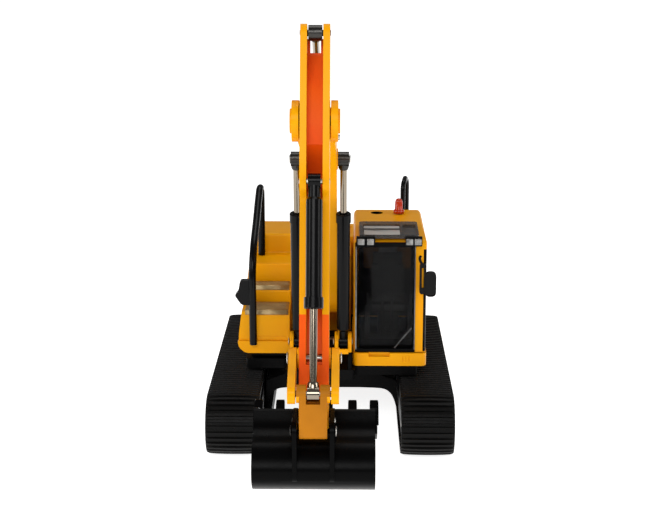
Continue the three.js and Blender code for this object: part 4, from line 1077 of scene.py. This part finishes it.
def bucket():
    left, right = BOOM_X - BUCKET_HALF, BOOM_X + BUCKET_HALF
    wall = 1.2
    curve = [(-131, 44.9), (-133.6, 41.2), (-137, 39.4), (-141.6, 38.6), (-145, 36), (-147, 32.4),
             (-146.4, 28.8), (-143, 25.6), (-138, 23.3), (-131, 22.1), (-123, 21.9), (-117.6, 23.3),
             (-113.4, 26.6), (-106.4, 35.6)]
    centre = (-127, 33)
    inner = []
    for y, z in curve[1:-1]:
        reach = math.hypot(y - centre[0], z - centre[1])
        scale = (reach - wall) / reach
        inner.append((centre[0] + (y - centre[0]) * scale, centre[1] + (z - centre[1]) * scale))
    outer = smooth_curve(curve) + [(-107.6, 36.6), (-129.6, 45.4)]
    shell = plate_yz(outer, left, right)
    hollow_outline = [(-129.4, 46.4)] + smooth_curve(inner) + [(-107.9, 37.4), (-104, 60), (-126, 66)]
    hollow = plate_yz(hollow_outline, left + wall, right - wall)
    ear_hollow = twin(hollow)
    parts = []
    tooth_side = [(-109.2, 32.6), (-107, 31.6), (-104.2, 39), (-104.9, 39.2), (-108.6, 36)]
    for offset in TOOTH_OFFSETS:
        middle = BOOM_X + offset
        face = plate_xz(rounded([(middle - 1.45, 31), (middle + 1.45, 31), (middle + 1.35, 39.4),
                                 (middle - 1.35, 39.4)],
                                [0.1, 0.1, 1.1, 1.1], 5), -112, -100)
        parts.append(common(plate_yz(tooth_side, middle - 2, middle + 2), face))
    for side in (-1, 1):
        low, high = sorted((BOOM_X + side * (BUCKET_HALF - 0.6), BOOM_X + side * (BUCKET_HALF + 0.9)))
        cutter = rounded([(-106.8, 36.9), (-108.8, 34), (-116.5, 30.6), (-123, 35), (-121, 42.4)], 0.8)
        parts.append(plate_yz(cutter, low, high))
    ears = []
    for side in (-1, 1):
        low, high = sorted((BOOM_X + side * (STICK_HALF + 0.4), BOOM_X + side * 6))
        outline = hull([(*BUCKET_PIVOT, 3.3), (*LINK_PIVOT, 3), (-133, 44, 2.4), (-140, 34, 4),
                        (-144, 31.6, 3.6)])
        ears.append(plate_yz(outline, low, high))
    both = cut(join(*ears), ear_hollow)
    bores = [bore(BUCKET_PIVOT, 1.15), bore(LINK_PIVOT, 0.95)]
    body = cut(join(cut(shell, hollow), *parts, both), *bores)
    place(body, "bucket_moulding", "bucket", BUCKET_BLACK, edge=0.25)
    end = 6.7
    pin = turned([(0, 1.1), (0.15, 1.6), (0.4, 1.6), (0.41, 0.7), (2 * end - 0.41, 0.7), (2 * end - 0.4, 1.6),
                  (2 * end - 0.15, 1.6), (2 * end, 1.1)],
                 (BOOM_X - end, *LINK_PIVOT), (BOOM_X + end, *LINK_PIVOT))
    pin = place(pin, "link_pin", "link_pivot_pin", STEEL, edge=0)
    repaint(pin, DARK_STEEL, lambda at: at.x < BOOM_X)


# ---------------------------------------------------------------- floor, light and camera
WHITE = (1.0, 1.0, 1.0, 1.0)


def area_light(name, where, target, size, power, colour=(1.0, 1.0, 1.0)):
    data = bpy.data.lights.new(name, "AREA")
    data.shape = "RECTANGLE"
    data.size, data.size_y = size
    data.energy = power
    data.color = colour
    lamp = linked(name, data)
    lamp.location = where
    lamp.rotation_euler = (Vector(target) - Vector(where)).to_track_quat("-Z", "Y").to_euler()


def studio():
    mesh = bpy.data.meshes.new("floor")
    reach = 6.0
    mesh.from_pydata([(-reach, -reach, 0), (reach, -reach, 0), (reach, reach, 0), (-reach, reach, 0)], [],
                     [(0, 1, 2, 3)])
    floor = linked("floor", mesh)
    paper = material("studio_paper", (0.93, 0.93, 0.92), 0.8, tint=(0.9, 0.9, 0.9), tint_scale=4.0,
                     bump_scale=60.0, bump=0.02)
    set_inputs(paper.node_tree.nodes["Principled BSDF"], Emission_Color=WHITE, Emission_Strength=0.85)
    mesh.materials.append(paper)

    world = bpy.data.worlds.new("studio")
    world.use_nodes = True
    set_inputs(world.node_tree.nodes["Background"], Color=WHITE, Strength=0.22)
    bpy.context.scene.world = world
    bpy.context.scene.view_settings.view_transform = "Standard"
    middle = (0, -0.03, 0.07)
    area_light("front_softbox", (-0.2, -1.3, 0.8), middle, (0.8, 0.5), 8.0)
    area_light("left_softbox", (-1.1, -0.5, 0.6), middle, (0.4, 0.7), 4.5)
    area_light("right_softbox", (1.1, -0.4, 0.6), middle, (0.4, 0.7), 4.5)
    area_light("top_softbox", (0.1, 0.3, 1.3), middle, (0.7, 0.7), 4.5)


CAMERA_PLACE = (0.0063, -0.541, 0.192)
CAMERA_PITCH = 14.1
CAMERA_YAW = 0.89
CAMERA_LENS = 81.6


def camera():
    data = bpy.data.cameras.new("camera")
    data.lens = CAMERA_LENS
    data.sensor_width = 36.0
    data.clip_start = 0.01
    eye = linked("camera", data)
    eye.location = CAMERA_PLACE
    eye.rotation_euler = (math.radians(90 - CAMERA_PITCH), 0.0, math.radians(CAMERA_YAW))
    bpy.context.scene.camera = eye


camera()
studio()
undercarriage()
deck()
counterweight()
engine_hood()
tank_box()
handrails()
cab_base()
cab_shell()
cab_glazing()
roof_visor()
seat_and_controls()
cab_fittings()
boom()
cylinders()
stick()
linkage()
bucket()
